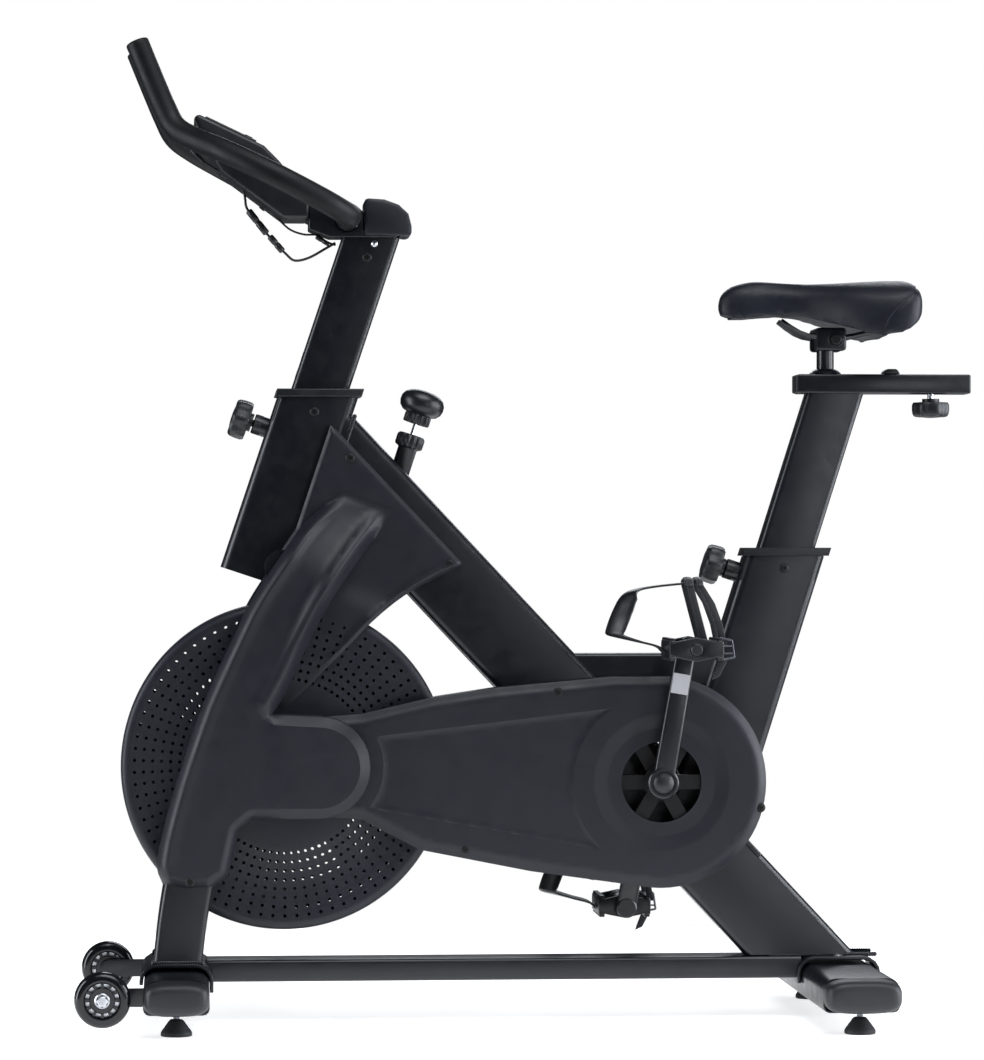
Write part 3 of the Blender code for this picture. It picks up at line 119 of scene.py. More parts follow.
def soft_box(name, place, aim, width, height, power):
    """A rectangular studio light that faces a point."""
    data = bpy.data.lights.new(name, "AREA")
    data.shape = "RECTANGLE"
    data.size = width
    data.size_y = height
    data.energy = power
    data.color = (0.90, 0.94, 1.0)
    light = bpy.data.objects.new(name, data)
    light.location = place
    light.rotation_euler = (Vector(aim) - Vector(place)).to_track_quat("-Z", "Y").to_euler()
    bpy.context.collection.objects.link(light)


soft_box("right_strip", (2.6, -1.5, 0.9), (0, 0, 0.6), 0.40, 2.2, 38)
soft_box("right_edge", (2.7, -0.1, 0.9), (0, 0, 0.6), 1.10, 2.2, 62)
soft_box("left_strip", (-2.6, -0.5, 0.9), (0, 0, 0.6), 1.10, 2.2, 52)
soft_box("top_box", (0.4, -1.4, 3.4), (0, 0, 0.5), 2.4, 1.6, 50)
soft_box("seat_panel", (1.15, -2.5, 0.75), (0.38, 0, 0.6), 0.8, 1.0, 6)
soft_box("back_box", (0.6, 3.2, 2.2), (0, 0, 0.5), 2.4, 1.2, 30)
sun_data = bpy.data.lights.new("room_light", "SUN")
sun_data.energy = 0.8
sun_data.angle = math.radians(60)
sun = bpy.data.objects.new("room_light", sun_data)
sun.rotation_euler = (math.radians(24), math.radians(14), 0)
bpy.context.collection.objects.link(sun)

world = bpy.data.worlds.new("studio")
bpy.context.scene.world = world
world.use_nodes = True
sky = world.node_tree
sky.nodes.clear()
seen = add_node(sky, "ShaderNodeBackground", {"Color": hex_colour("#ffffff"), "Strength": 1.0})
fill = add_node(sky, "ShaderNodeBackground", {"Color": hex_colour("#e8ecf4"), "Strength": 0.05})
ray = add_node(sky, "ShaderNodeLightPath")
mixed = add_node(sky, "ShaderNodeMixShader", {0: ray.outputs["Is Camera Ray"], 1: fill.outputs[0],
                                              2: seen.outputs[0]})
add_node(sky, "ShaderNodeOutputWorld", {"Surface": mixed.outputs[0]})


# ---------------------------------------------------------------- materials
def start_material(name, constants):
    """A material with its shader, object coordinates in metres and constant sockets set."""
    material = bpy.data.materials.new(name)
    material.use_nodes = True
    tree = material.node_tree
    shader = tree.nodes["Principled BSDF"]
    for socket, value in constants.items():
        shader.inputs[socket].default_value = value
    place = add_node(tree, "ShaderNodeTexCoord").outputs["Object"]
    return material, tree, shader, place


def noise(tree, place, size, detail, distortion=0.0):
    """Noise whose largest features are a real size in metres."""
    return add_node(tree, "ShaderNodeTexNoise", {"Vector": place, "Scale": 1 / size, "Detail": detail,
                                                 "Distortion": distortion}).outputs["Fac"]


def mix(tree, share, first, second, blend="MIX"):
    return add_node(tree, "ShaderNodeMix", {0: share, 6: first, 7: second}, data_type="RGBA",
                    blend_type=blend).outputs[2]


def remap(tree, value, low, high, to_low, to_high):
    return add_node(tree, "ShaderNodeMapRange", {"Value": value, "From Min": low, "From Max": high,
                                                 "To Min": to_low, "To Max": to_high}).outputs[0]


def maths(tree, operation, a, b=0.0):
    return add_node(tree, "ShaderNodeMath", {0: a, 1: b}, operation=operation).outputs[0]


def finish(name, dark, light, roughness, grain, depth, edge_wear_and_highlight, constants=None, patch=0.05, scratch=0.0):
    """A surface in two close tones, with a fine grain in relief and lighter edges, part wear and part painted
    highlight.

    The grain and the patches are given as real sizes in metres, and depth is the relief's height.
    """
    material, tree, shader, place = start_material(name, constants or {})
    patches = noise(tree, place, patch, 4.0)
    tone = mix(tree, patches, hex_colour(dark), hex_colour(light))
    # Convex edges, found by pointiness, take the last colour: part wear, part painted highlight.
    pointiness = add_node(tree, "ShaderNodeNewGeometry").outputs["Pointiness"]
    edge = remap(tree, pointiness, 0.53, 0.62, 0.0, 0.55)
    colour = mix(tree, maths(tree, "MULTIPLY", edge, patches), tone, hex_colour(edge_wear_and_highlight))
    smear = noise(tree, place, patch * 0.4, 6.0, 0.6)
    gloss = remap(tree, smear, 0.3, 0.7, *roughness)
    relief = noise(tree, place, grain, 2.0)
    if scratch:
        stretch = add_node(tree, "ShaderNodeMapping", {"Vector": place, "Scale": (1, 12, 1)}).outputs[0]
        relief = maths(tree, "ADD", relief, noise(tree, stretch, scratch, 3.0))
    bump = add_node(tree, "ShaderNodeBump", {"Height": relief, "Distance": depth, "Strength": 0.6}).outputs[0]
    for output, socket in ((colour, "Base Color"), (gloss, "Roughness"), (bump, "Normal")):
        tree.links.new(output, shader.inputs[socket])
    return material


# The last colour given to each finish is its edge colour: part wear, part painted highlight.
# Powder-coated mild steel: a deep satin black with a blue cast and a faint orange peel.
PAINT = finish("powder_coated_steel", "#06070d", "#090b13", (0.30, 0.40), 0.0014, 0.00005, "#1c1e26",
               {"Coat Weight": 0.12, "Coat Roughness": 0.2})
# Moulded polypropylene with a fine spark-eroded texture: soft dark grey, broad dull highlights.
COVER = finish("textured_polypropylene", "#16171e", "#1b1c25", (0.42, 0.52), 0.0007, 0.00004, "#33343d",
               {"IOR": 1.49, "Specular IOR Level": 0.4})
# Perforated guard in the same plastic, moulded a little smoother.
GUARD = finish("moulded_guard_polypropylene", "#171820", "#1c1e27", (0.40, 0.50), 0.0008, 0.00004, "#33343d",
               {"IOR": 1.49, "Specular IOR Level": 0.4})
# Injection-moulded ABS for knobs and collars: near black, tight grain, clear highlights.
PLASTIC = finish("moulded_abs", "#08090d", "#0d0e13", (0.38, 0.50), 0.0006, 0.00003, "#2a2b32", {"IOR": 1.54})
# Glossy nylon of the cages and the brake knob.
NYLON = finish("moulded_nylon", "#090a0e", "#0e0f15", (0.32, 0.42), 0.0010, 0.00003, "#2b2c34", {"IOR": 1.53})
# Moulded polyamide end caps: matt charcoal, corners painted lighter as rubbed wear and painted highlight.
CAP = finish("moulded_polyamide_cap", "#121217", "#18181e", (0.45, 0.55), 0.0008, 0.00005, "#36373f",
             {"IOR": 1.53})
# Vulcanised rubber of the feet: dull, faintly dusty black.
RUBBER = finish("vulcanised_rubber", "#0d0d0f", "#191a1c", (0.62, 0.80), 0.0011, 0.00008, "#34353a",
                {"IOR": 1.52})
# Cast polyurethane of the transport wheels: wet-looking black.
URETHANE = finish("cast_polyurethane", "#08080b", "#0e0e12", (0.10, 0.20), 0.0020, 0.00002, "#26272c",
                  {"IOR": 1.50})
# Closed-cell nitrile foam grip: soft charcoal skin with open pores.
FOAM = finish("nitrile_foam", "#060709", "#0a0b0f", (0.48, 0.60), 0.0012, 0.00014, "#1a1b20",
              {"Specular IOR Level": 0.3})
# Die-cast aluminium crank, painted satin black.
ALLOY = finish("painted_aluminium", "#0a0b10", "#101117", (0.30, 0.40), 0.0016, 0.00004, "#2a2b33",
               {"Coat Weight": 0.3, "Coat Roughness": 0.2})
# Zinc-plated steel of bolts and buckles: pale, slightly clouded metal.
ZINC = finish("zinc_plated_steel", "#b9bcc2", "#d0d3d8", (0.22, 0.38), 0.0007, 0.00003, "#e6e8ec",
              {"Metallic": 1.0}, 0.012)
# Black oxide on the screws and pull pins: almost black, with a painted dull sheen on its edges. The same near
# black is painted shade in the posts' pin holes and on the crank pulley.
BLACK_OXIDE_AND_PAINTED_SHADE = finish("black_oxide_steel", "#020203", "#050506", (0.50, 0.62), 0.0006, 0.00002, "#101115",
               {"Specular IOR Level": 0.35}, 0.010)
# Stamped buckle, zinc plated and tumbled to a dull grey.
BUCKLE = finish("tumbled_zinc_plate", "#3c3e44", "#55575e", (0.36, 0.50), 0.0006, 0.00003, "#85878d",
                {"Metallic": 1.0}, 0.008)
# Ground and chromed steel rod: bright, with fine grinding lines.
CHROME = finish("chromed_steel", "#cfd2d6", "#e4e6ea", (0.06, 0.14), 0.0006, 0.00002, "#ffffff",
                {"Metallic": 1.0}, 0.012, 0.0008)
# Turned grey cast iron of the flywheel rim: dark metal with lathe lines.
IRON = finish("turned_cast_iron", "#4a4c51", "#5e6066", (0.34, 0.48), 0.0010, 0.00008, "#8c8e94",
              {"Metallic": 1.0}, 0.03, 0.0010)
# Rubber belt with cord: dull black.
BELT = finish("ribbed_belt_rubber", "#0b0b0c", "#151516", (0.60, 0.75), 0.0009, 0.00010, "#2c2c2f")
# Soft vinyl jacket of the leads.
JACKET = finish("vinyl_jacket", "#0c0c0f", "#15151a", (0.35, 0.48), 0.0010, 0.00003, "#303036", {"IOR": 1.53})
# Self-adhesive paper label, blank and pale grey.
LABEL = finish("coated_paper_label", "#a3a3a8", "#b4b4b8", (0.40, 0.55), 0.0008, 0.00002, "#c6c6ca")
# Woven polyester strap of the toe cages: matt black with a slight sheen.
STRAP = finish("woven_polyester_strap", "#0d0e12", "#1c1d23", (0.65, 0.80), 0.0009, 0.00020, "#3a3b42",
               {"Sheen Weight": 0.3, "Sheen Roughness": 0.4})
# Clear acrylic over a dead liquid-crystal panel: glossy grey-green black.
SCREEN = finish("display_window_acrylic", "#0c1012", "#12171a", (0.04, 0.09), 0.0040, 0.00001, "#20262a",
                {"IOR": 1.49, "Coat Weight": 0.6, "Coat Roughness": 0.04})


def leatherette():
    """Polyurethane-coated cloth, embossed with a pebbled hide grain."""
    material, tree, shader, place = start_material("embossed_leatherette", {
        "Specular IOR Level": 0.4, "Sheen Weight": 0.02, "Sheen Roughness": 0.5, "IOR": 1.47})
    pebbles = add_node(tree, "ShaderNodeTexVoronoi", {"Vector": place, "Scale": 1 / 0.0016},
                       feature="DISTANCE_TO_EDGE").outputs["Distance"]
    creases = noise(tree, place, 0.006, 5.0, 0.8)
    tone = mix(tree, noise(tree, place, 0.06, 3.0), hex_colour("#0e101a"), hex_colour("#151826"))
    # The pebbles' valleys are darkened as painted shade, and the same map sinks them in the relief.
    valley_relief_and_shade = remap(tree, pebbles, 0.0, 0.12, 0.55, 1.0)
    tone_with_painted_shade = mix(tree, 1.0, tone, valley_relief_and_shade, "MULTIPLY")
    gloss = remap(tree, creases, 0.3, 0.7, 0.38, 0.52)
    height = maths(tree, "ADD", valley_relief_and_shade, creases)
    bump = add_node(tree, "ShaderNodeBump", {"Height": height, "Distance": 0.00018,
                                             "Strength": 0.7}).outputs[0]
    for output, socket in ((tone_with_painted_shade, "Base Color"), (gloss, "Roughness"), (bump, "Normal")):
        tree.links.new(output, shader.inputs[socket])
    return material


LEATHERETTE = leatherette()
# Polyester sewing thread, a shade lighter than the cover it holds.
THREAD = finish("polyester_thread", "#23252f", "#2e3140", (0.55, 0.7), 0.0006, 0.00005, "#444757")
# Matt white studio floor.
FLOOR = finish("studio_floor_paint", "#f1f1f1", "#f6f6f6", (0.7, 0.8), 0.004, 0.00002, "#ffffff",
               {"Emission Color": hex_colour("#ffffff"), "Emission Strength": 0.68}, 0.8)


# ---------------------------------------------------------------- making meshes
def new_object(name, mesh):
    obj = bpy.data.objects.new(name, mesh)
    bpy.context.collection.objects.link(obj)
    return obj


def from_work(name, work):
    """An object from a bmesh, with its normals facing out."""
    bmesh.ops.recalc_face_normals(work, faces=work.faces)
    mesh = bpy.data.meshes.new(name)
    work.to_mesh(mesh)
    work.free()
    return new_object(name, mesh)


def skinned(name, rows, closed=True):
    """Faces between matching rows of points. Closed rows are rings, and the two end rings are filled."""
    work = bmesh.new()
    made = [[work.verts.new(point) for point in row] for row in rows]
    count = len(made[0])
    for lower, upper in zip(made, made[1:]):
        for i in range(count if closed else count - 1):
            work.faces.new((lower[i], lower[(i + 1) % count], upper[(i + 1) % count], upper[i]))
    if closed:
        work.faces.new(made[0])
        work.faces.new(made[-1])
    return from_work(name, work)


def settled(obj):
    """Turn the object's modifiers or curve into a plain mesh and drop them."""
    bpy.context.view_layer.update()
    mesh = bpy.data.meshes.new_from_object(obj.evaluated_get(bpy.context.evaluated_depsgraph_get()))
    name = obj.name
    matrix = obj.matrix_world.copy()
    bpy.data.objects.remove(obj, do_unlink=True)
    mesh.transform(matrix)
    return new_object(name, mesh)


def rounded(obj, width, segments=3, limit=30):
    bevel = obj.modifiers.new("round", "BEVEL")
    bevel.width = width
    bevel.segments = segments
    bevel.limit_method = "ANGLE"
    bevel.angle_limit = math.radians(limit)
    return settled(obj)


def thickened(obj, thickness, offset=-1):
    wall = obj.modifiers.new("wall", "SOLIDIFY")
    wall.thickness = thickness
    wall.offset = offset
    return settled(obj)


def cut(obj, tool):
    """Take one closed shape out of another."""
    step = obj.modifiers.new("cut", "BOOLEAN")
    step.operation = "DIFFERENCE"
    step.object = tool
    left_over = settled(obj)
    bpy.data.objects.remove(tool, do_unlink=True)
    return left_over


def prism(name, outline, y_low, y_high):
    """An outline of (x, z) points, extruded across the frame."""
    return skinned(name, [[(x, y, z) for x, z in outline] for y in (y_low, y_high)])


def block(name, low, high):
    outline = [(low[0], low[2]), (high[0], low[2]), (high[0], high[2]), (low[0], high[2])]
    return prism(name, outline, low[1], high[1])


def along(start, end):
    """Matrix that takes local +Z from the origin to the line start-end."""
    direction = Vector(end) - Vector(start)
    return Matrix.Translation(start) @ direction.to_track_quat("Z", "Y").to_matrix().to_4x4()


def turned(name, profile, start, end, steps=48, closed=False):
    """Spin (radius, height) points about the line start-end."""
    work = bmesh.new()
    points = [work.verts.new((r, 0, h)) for r, h in profile]
    edges = [work.edges.new(pair) for pair in zip(points, points[1:])]
    if closed:
        edges.append(work.edges.new((points[-1], points[0])))
    bmesh.ops.spin(work, geom=points + edges, cent=(0, 0, 0), axis=(0, 0, 1), angle=2 * math.pi, steps=steps,
                   use_merge=True)
    bmesh.ops.remove_doubles(work, verts=work.verts, dist=0.00001)
    bmesh.ops.transform(work, matrix=along(start, end), verts=work.verts)
    return from_work(name, work)


def across(name, point, profile, steps=48, closed=False):
    """Spin a profile whose heights are given along -Y, about an axis across the frame."""
    return turned(name, profile, (point[0], 0, point[1]), (point[0], -1, point[1]), steps, closed)


def smooth_route(points, pieces):
    """Points on a smooth curve through the given ones."""
    knots = [Vector(p) for p in points]
    knots = [2 * knots[0] - knots[1]] + knots + [2 * knots[-1] - knots[-2]]
    route = []
    for i in range(1, len(knots) - 2):
        a, b, c, d = knots[i - 1:i + 3]
        for step in range(pieces):
            t = step / pieces
            route.append(0.5 * (2 * b + (c - a) * t + (2 * a - 5 * b + 4 * c - d) * t ** 2
                                + (3 * b - a - 3 * c + d) * t ** 3))
    route.append(knots[-2])
    return route


def rod(name, points, radius, resolution=4, scales=None):
    """A round bar along a run of points, with an optional scale for its radius at each."""
    data = bpy.data.curves.new(name, "CURVE")
    data.dimensions = "3D"
    data.bevel_depth = radius
    data.bevel_resolution = resolution
    data.use_fill_caps = True
    spline = data.splines.new("POLY")
    spline.points.add(len(points) - 1)
    for i, (place, point) in enumerate(zip(spline.points, points)):
        place.co = (*point, 1)
        place.radius = scales[i] if scales else 1.0
    return settled(new_object(name, data))


def joined(name, pieces):
    """Several meshes in one object. Each keeps its own materials."""
    with bpy.context.temp_override(active_object=pieces[0], selected_editable_objects=pieces):
        bpy.ops.object.join()
    pieces[0].name = name
    return pieces[0]


def mirrored(obj, name):
    """The same piece on the other side of the frame."""
    mesh = obj.data.copy()
    mesh.transform(Matrix.Scale(-1, 4, (0, 1, 0)))
    mesh.flip_normals()
    return new_object(name, mesh)


def coat(obj, material):
    obj.data.materials.clear()
    obj.data.materials.append(material)
    return obj


def fit(obj, body, slot, *nodes, angle=35):
    """Smooth a finished piece, let it ride on its body and hide the CAD nodes it stands in for."""
    obj.data.shade_smooth()
    obj.data.set_sharp_from_angle(angle=math.radians(angle))
    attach(obj, body)
    if nodes:
        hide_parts(*nodes)


def fit_both(left, body, slot, node, angle=35):
    """Fit a left-hand piece, and its mirror image on the right."""
    right = mirrored(left, left.name.replace("left", "right"))
    fit(right, body.replace("left", "right"), slot, node.replace("left", "right"), angle=angle)
    fit(left, body, slot, node, angle=angle)


def softened(node, width, material, body, slot):
    """Stand a copy of a CAD node in its place, with its hard edges rounded as bent tube or casting."""
    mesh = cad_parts[node].data.copy()
    work = bmesh.new()
    work.from_mesh(mesh)
    bmesh.ops.remove_doubles(work, verts=work.verts, dist=0.00002)
    bmesh.ops.dissolve_limit(work, angle_limit=math.radians(1.0), verts=work.verts, edges=work.edges)
    fit(coat(rounded(from_work("soft_" + node, work), width), material), body, slot, node)


# ---------------------------------------------------------------- outlines in the plane of the frame
def arc(centre, radius, first, last, steps):
    angles = [math.radians(first + (last - first) * i / steps) for i in range(steps + 1)]
    return [(centre[0] + radius * math.cos(a), centre[1] + radius * math.sin(a)) for a in angles]


def brake_point(distance):
    x, z = BRAKE_AXIS
    return (x + distance * math.sin(BRAKE_TILT), 0, z + distance * math.cos(BRAKE_TILT))


def resampled(loop, spacing):
    """Points at an even spacing round a closed outline, its corners kept."""
    points = []
    for start, end in zip(loop, loop[1:] + loop[:1]):
        count = max(1, round(math.dist(start, end) / spacing))
        points += [tuple(Vector(start).lerp(Vector(end), i / count)) for i in range(count)]
    return points


def inside_and_distance(points, loop):
    """For each point, whether it lies inside the outline, and how far from the outline it is."""
    points = np.asarray(points)
    start = np.asarray(loop)
    end = np.roll(start, -1, axis=0)
    run = end - start
    to_point = points[:, None, :] - start[None]
    share = np.clip((to_point * run).sum(-1) / (run ** 2).sum(-1), 0, 1)
    distance = np.linalg.norm(to_point - share[..., None] * run, axis=-1).min(axis=1)
    above = (start[None, :, 1] > points[:, 1, None]) != (end[None, :, 1] > points[:, 1, None])
    height = np.where(np.abs(run[:, 1]) < 1e-12, 1e-12, run[:, 1])
    meet = start[:, 0] + (points[:, 1, None] - start[:, 1]) * run[:, 0] / height
    inside = (above & (points[:, 0, None] < meet)).sum(axis=1) % 2 == 1
    return inside, distance


def clear_of(points, others, gap):
    """The points that lie further than a gap from all the others."""
    if not len(others):
        return points
    return points[np.linalg.norm(points[:, None] - others[None], axis=-1).min(axis=1) > gap]


def face_out(work):
    """Turn a left-hand skin's faces so that its outer side looks towards -Y."""
    bmesh.ops.recalc_face_normals(work, faces=work.faces)
    front = min(work.faces, key=lambda f: f.calc_center_median().y)
    if front.normal.y > 0:
        bmesh.ops.reverse_faces(work, faces=work.faces)


def moulded_skin(name, outline, face, back, shoulder, spacing=0.004, holes=(), creases=()):
    """The skin of a moulded cover on the left side.

    face gives the height out from the frame's plane for arrays x, z and distance to the edge, and
    back the height at which the side wall ends. Holes are closed loops, and creases are runs of points
    where the net gets extra points, so that a step or groove there stays crisp.
    """
    edge = resampled(outline, spacing)
    loops = [edge] + [resampled(hole, spacing) for hole in holes]
    verts = [Vector(p) for loop in loops for p in loop]
    links = []
    first = 0
    for loop in loops:
        links += [(first + i, first + (i + 1) % len(loop)) for i in range(len(loop))]
        first += len(loop)
    box_low, box_high = np.min(edge, axis=0), np.max(edge, axis=0)
    columns = np.arange(box_low[0], box_high[0], spacing)
    rows = np.arange(box_low[1], box_high[1], spacing)
    net = [(x + (spacing / 2 if i % 2 else 0), z) for i, z in enumerate(rows) for x in columns]
    rims = []
    for share in (0.08, 0.22, 0.42, 0.68, 1.0):
        for i, point in enumerate(edge):
            run = Vector(edge[(i + 1) % len(edge)]) - Vector(edge[i - 1])
            side = Vector((-run.y, run.x)).normalized() * share * shoulder
            for way in (side, -side):
                rims.append((*(Vector(point) + way), share * shoulder))
    rims = np.array(rims)
    inside, distance = inside_and_distance(rims[:, :2], edge)
    rims = rims[inside & (distance > rims[:, 2] * 0.93)][:, :2]
    inside, distance = inside_and_distance(net, edge)
    net = np.array(net)[inside & (distance > shoulder + spacing * 0.4)]
    extra = np.array([p for crease in creases for p in crease]).reshape(-1, 2)
    if len(extra):
        inside, distance = inside_and_distance(extra, edge)
        extra = extra[inside & (distance > spacing * 0.3)]
        net = clear_of(net, extra, spacing * 0.35)
    borders = np.array([p for loop in loops[1:] for p in loop]).reshape(-1, 2)
    net = clear_of(net, borders, spacing * 0.35)
    rims = clear_of(rims, borders, spacing * 0.30)
    verts += [Vector(p) for p in np.vstack([rims, net, extra])]
    flat, _, faces, _, _, _ = delaunay_2d_cdt(verts, links, [], 0, 1e-6)
    centres = [sum((flat[i] for i in corner), Vector((0, 0))) / len(corner) for corner in faces]
    keep, _ = inside_and_distance(centres, edge)
    for loop in loops[1:]:
        cut_out, _ = inside_and_distance(centres, loop)
        keep &= ~cut_out
    spots = np.array(flat)
    _, distance = inside_and_distance(spots, edge)
    height = face(spots[:, 0], spots[:, 1], distance)
    work = bmesh.new()
    made = [work.verts.new((x, -y, z)) for (x, z), y in zip(spots, height)]
    for corner, wanted in zip(faces, keep):
        if wanted:
            work.faces.new([made[i] for i in corner])
    loose = [v for v in work.verts if not v.link_faces]
    bmesh.ops.delete(work, geom=loose, context="VERTS")
    open_edges = [e for e in work.edges if e.is_boundary]
    grown = bmesh.ops.extrude_edge_only(work, edges=open_edges)["geom"]
    for vert in grown:
        if isinstance(vert, bmesh.types.BMVert):
            vert.co.y = -float(back(vert.co.x, vert.co.z))
    face_out(work)
    mesh = bpy.data.meshes.new(name)
    work.to_mesh(mesh)
    work.free()
    return thickened(new_object(name, mesh), SKIN)


# ---------------------------------------------------------------- repeats built with Geometry Nodes
def node_group(name, sockets):
    """A Geometry Nodes group with a geometry input and output and the named inputs given."""
    tree = bpy.data.node_groups.new(name, "GeometryNodeTree")
    tree.interface.new_socket("Geometry", in_out="INPUT", socket_type="NodeSocketGeometry")
    for label, kind in sockets:
        tree.interface.new_socket(label, in_out="INPUT", socket_type="NodeSocket" + kind)
    tree.interface.new_socket("Geometry", in_out="OUTPUT", socket_type="NodeSocketGeometry")
    return tree, tree.nodes.new("NodeGroupInput").outputs


def grown(obj, tree, values):
    """Run a Geometry Nodes group on an object and keep the plain mesh that it gives."""
    modifier = obj.modifiers.new("build", "NODES")
    modifier.node_group = tree
    for item in tree.interface.items_tree:
        if item.in_out == "INPUT" and item.name in values:
            modifier[item.identifier] = values[item.name]
    obj.update_tag()
    return settled(obj)


def perforation_group():
    """Lays a square cell with a round hole on a ring: evenly round it, and in rows out from its centre."""
    tree, given = node_group("perforated_ring", [("Holes Around", "Float"), ("Rows", "Float"),
                                                 ("First Row Radius", "Float"), ("Row Pitch", "Float"),
                                                 ("Hole Radius", "Float"), ("Dish", "Float"),
                                                 ("Face", "Float"), ("Centre", "Vector"),
                                                 ("Material", "Material")])

    def calc(operation, a, b=0.0):
        return maths(tree, operation, a, b)

    across_count = calc("SUBTRACT", given["Holes Around"], 1.0)
    up_count = calc("SUBTRACT", given["Rows"], 1.0)
    grid = add_node(tree, "GeometryNodeMeshGrid", {"Size X": across_count, "Size Y": up_count,
                                                   "Vertices X": given["Holes Around"],
                                                   "Vertices Y": given["Rows"]})
    cells = add_node(tree, "GeometryNodeInstanceOnPoints", {"Points": grid.outputs[0],
                                                            "Instance": given["Geometry"]})
    middle = add_node(tree, "GeometryNodeInputPosition").outputs[0]
    kept = add_node(tree, "GeometryNodeStoreNamedAttribute", {"Geometry": cells.outputs[0], "Name": "middle",
                                                              "Value": middle},
                    data_type="FLOAT_VECTOR", domain="INSTANCE")
    loose = add_node(tree, "GeometryNodeRealizeInstances", {"Geometry": kept.outputs[0]})
    stored = add_node(tree, "GeometryNodeInputNamedAttribute", {"Name": "middle"},
                      data_type="FLOAT_VECTOR").outputs[0]
    on_rim = add_node(tree, "GeometryNodeInputNamedAttribute", {"Name": "on_rim"},
                      data_type="FLOAT").outputs[0]
    offset = add_node(tree, "ShaderNodeVectorMath", {0: middle, 1: stored}, operation="SUBTRACT").outputs[0]
    cell = add_node(tree, "ShaderNodeSeparateXYZ", {0: stored}).outputs
    shift = add_node(tree, "ShaderNodeSeparateXYZ", {0: offset}).outputs
    off_rim = calc("SUBTRACT", 1.0, on_rim)
    turn = calc("ADD", cell[0], calc("MULTIPLY", shift[0], off_rim))
    angle = calc("DIVIDE", calc("MULTIPLY", turn, 2 * math.pi), given["Holes Around"])
    row = calc("ADD", calc("ADD", cell[1], calc("DIVIDE", up_count, 2.0)),
               calc("MULTIPLY", shift[1], off_rim))
    reach = calc("ADD", given["First Row Radius"], calc("MULTIPLY", row, given["Row Pitch"]))
    rim = calc("MULTIPLY", on_rim, given["Hole Radius"])
    side = calc("MULTIPLY", shift[0], rim)
    out = calc("ADD", reach, calc("MULTIPLY", shift[1], rim))
    cosine, sine = calc("COSINE", angle), calc("SINE", angle)
    x = calc("SUBTRACT", calc("MULTIPLY", out, cosine), calc("MULTIPLY", side, sine))
    z = calc("ADD", calc("MULTIPLY", out, sine), calc("MULTIPLY", side, cosine))
    share = calc("DIVIDE", calc("ADD", row, 0.5), given["Rows"])
    dip = calc("MULTIPLY", calc("SINE", calc("MULTIPLY", share, math.pi)), given["Dish"])
    y = calc("SUBTRACT", dip, given["Face"])
    flat = add_node(tree, "ShaderNodeCombineXYZ", {0: x, 1: y, 2: z}).outputs[0]
    placed = add_node(tree, "ShaderNodeVectorMath", {0: flat, 1: given["Centre"]}, operation="ADD").outputs[0]
    bent = add_node(tree, "GeometryNodeSetPosition", {"Geometry": loose.outputs[0], "Position": placed})
    merged = add_node(tree, "GeometryNodeMergeByDistance", {"Geometry": bent.outputs[0], "Distance": 0.0001})
    dressed = add_node(tree, "GeometryNodeSetMaterial", {"Geometry": merged.outputs[0],
                                                         "Material": given["Material"]})
    add_node(tree, "NodeGroupOutput", {0: dressed.outputs[0]})
    return tree


def scatter_group():
    """Sets a copy of one shape at each point, turned so that its +Z follows the point's facing."""
    tree, given = node_group("set_along_facing", [("Shape", "Object"), ("Scale", "Float"),
                                                  ("Material", "Material")])
    shape = add_node(tree, "GeometryNodeObjectInfo", {"Object": given["Shape"]})
    facing = add_node(tree, "GeometryNodeInputNamedAttribute", {"Name": "facing"},
                      data_type="FLOAT_VECTOR").outputs[0]
    turn = add_node(tree, "FunctionNodeAlignRotationToVector", {"Vector": facing}, axis="Z").outputs[0]
    copies = add_node(tree, "GeometryNodeInstanceOnPoints", {"Points": given["Geometry"],
                                                             "Instance": shape.outputs["Geometry"],
                                                             "Rotation": turn, "Scale": given["Scale"]})
    loose = add_node(tree, "GeometryNodeRealizeInstances", {"Geometry": copies.outputs[0]})
    dressed = add_node(tree, "GeometryNodeSetMaterial", {"Geometry": loose.outputs[0],
                                                         "Material": given["Material"]})
    add_node(tree, "NodeGroupOutput", {0: dressed.outputs[0]})
    return tree


PERFORATED_RING = perforation_group()
SET_ALONG_FACING = scatter_group()


def set_out(name, shape, places, material, scale=1.0):
    """Copies of a shape at (point, facing) places, in one plain mesh."""
    mesh = bpy.data.meshes.new(name)
    mesh.from_pydata([tuple(point) for point, _ in places], [], [])
    facing = mesh.attributes.new("facing", "FLOAT_VECTOR", "POINT")
    facing.data.foreach_set("vector", [c for _, way in places for c in way])
    return grown(new_object(name, mesh), SET_ALONG_FACING, {"Shape": shape, "Scale": scale,
                                                            "Material": material})


def lathe_shape(name, profile, steps):
    return turned(name, profile, (0, 0, 0), (0, 0, 1), steps)


def screw_shape():
    """Pan-head screw with a cross recess, its seat at z = 0 and a radius of 1."""
    head = lathe_shape("screw_shape", [(0, 0.30), (0.30, 0.36), (0.62, 0.30), (0.90, 0.14), (1.0, 0),
                                       (0.9, -0.2)], 16)
    for reach in ((0.52, 0.10), (0.10, 0.52)):
        head = cut(head, block("slot", (-reach[0], -reach[1], 0.16), (reach[0], reach[1], 0.6)))
    return head


def hex_bolt_shape():
    """Flanged hexagon head with a radius of 1 over its flange."""
    flange = lathe_shape("flange", [(0, 0.22), (0.88, 0.22), (1.0, 0.10), (1.0, -0.05)], 20)
    head = lathe_shape("hex_head", [(0, 0.80), (0.55, 0.80), (0.74, 0.68), (0.74, 0.15)], 6)
    return joined("hex_bolt_shape", [head, flange])


SCREW = screw_shape()
HEX_BOLT = hex_bolt_shape()
DOME_BOLT = lathe_shape("dome_bolt_shape", [(0, 0.62), (0.35, 0.56), (0.68, 0.36), (0.88, 0.10), (1.0, 0.06),
                                            (1.0, -0.05)], 20)


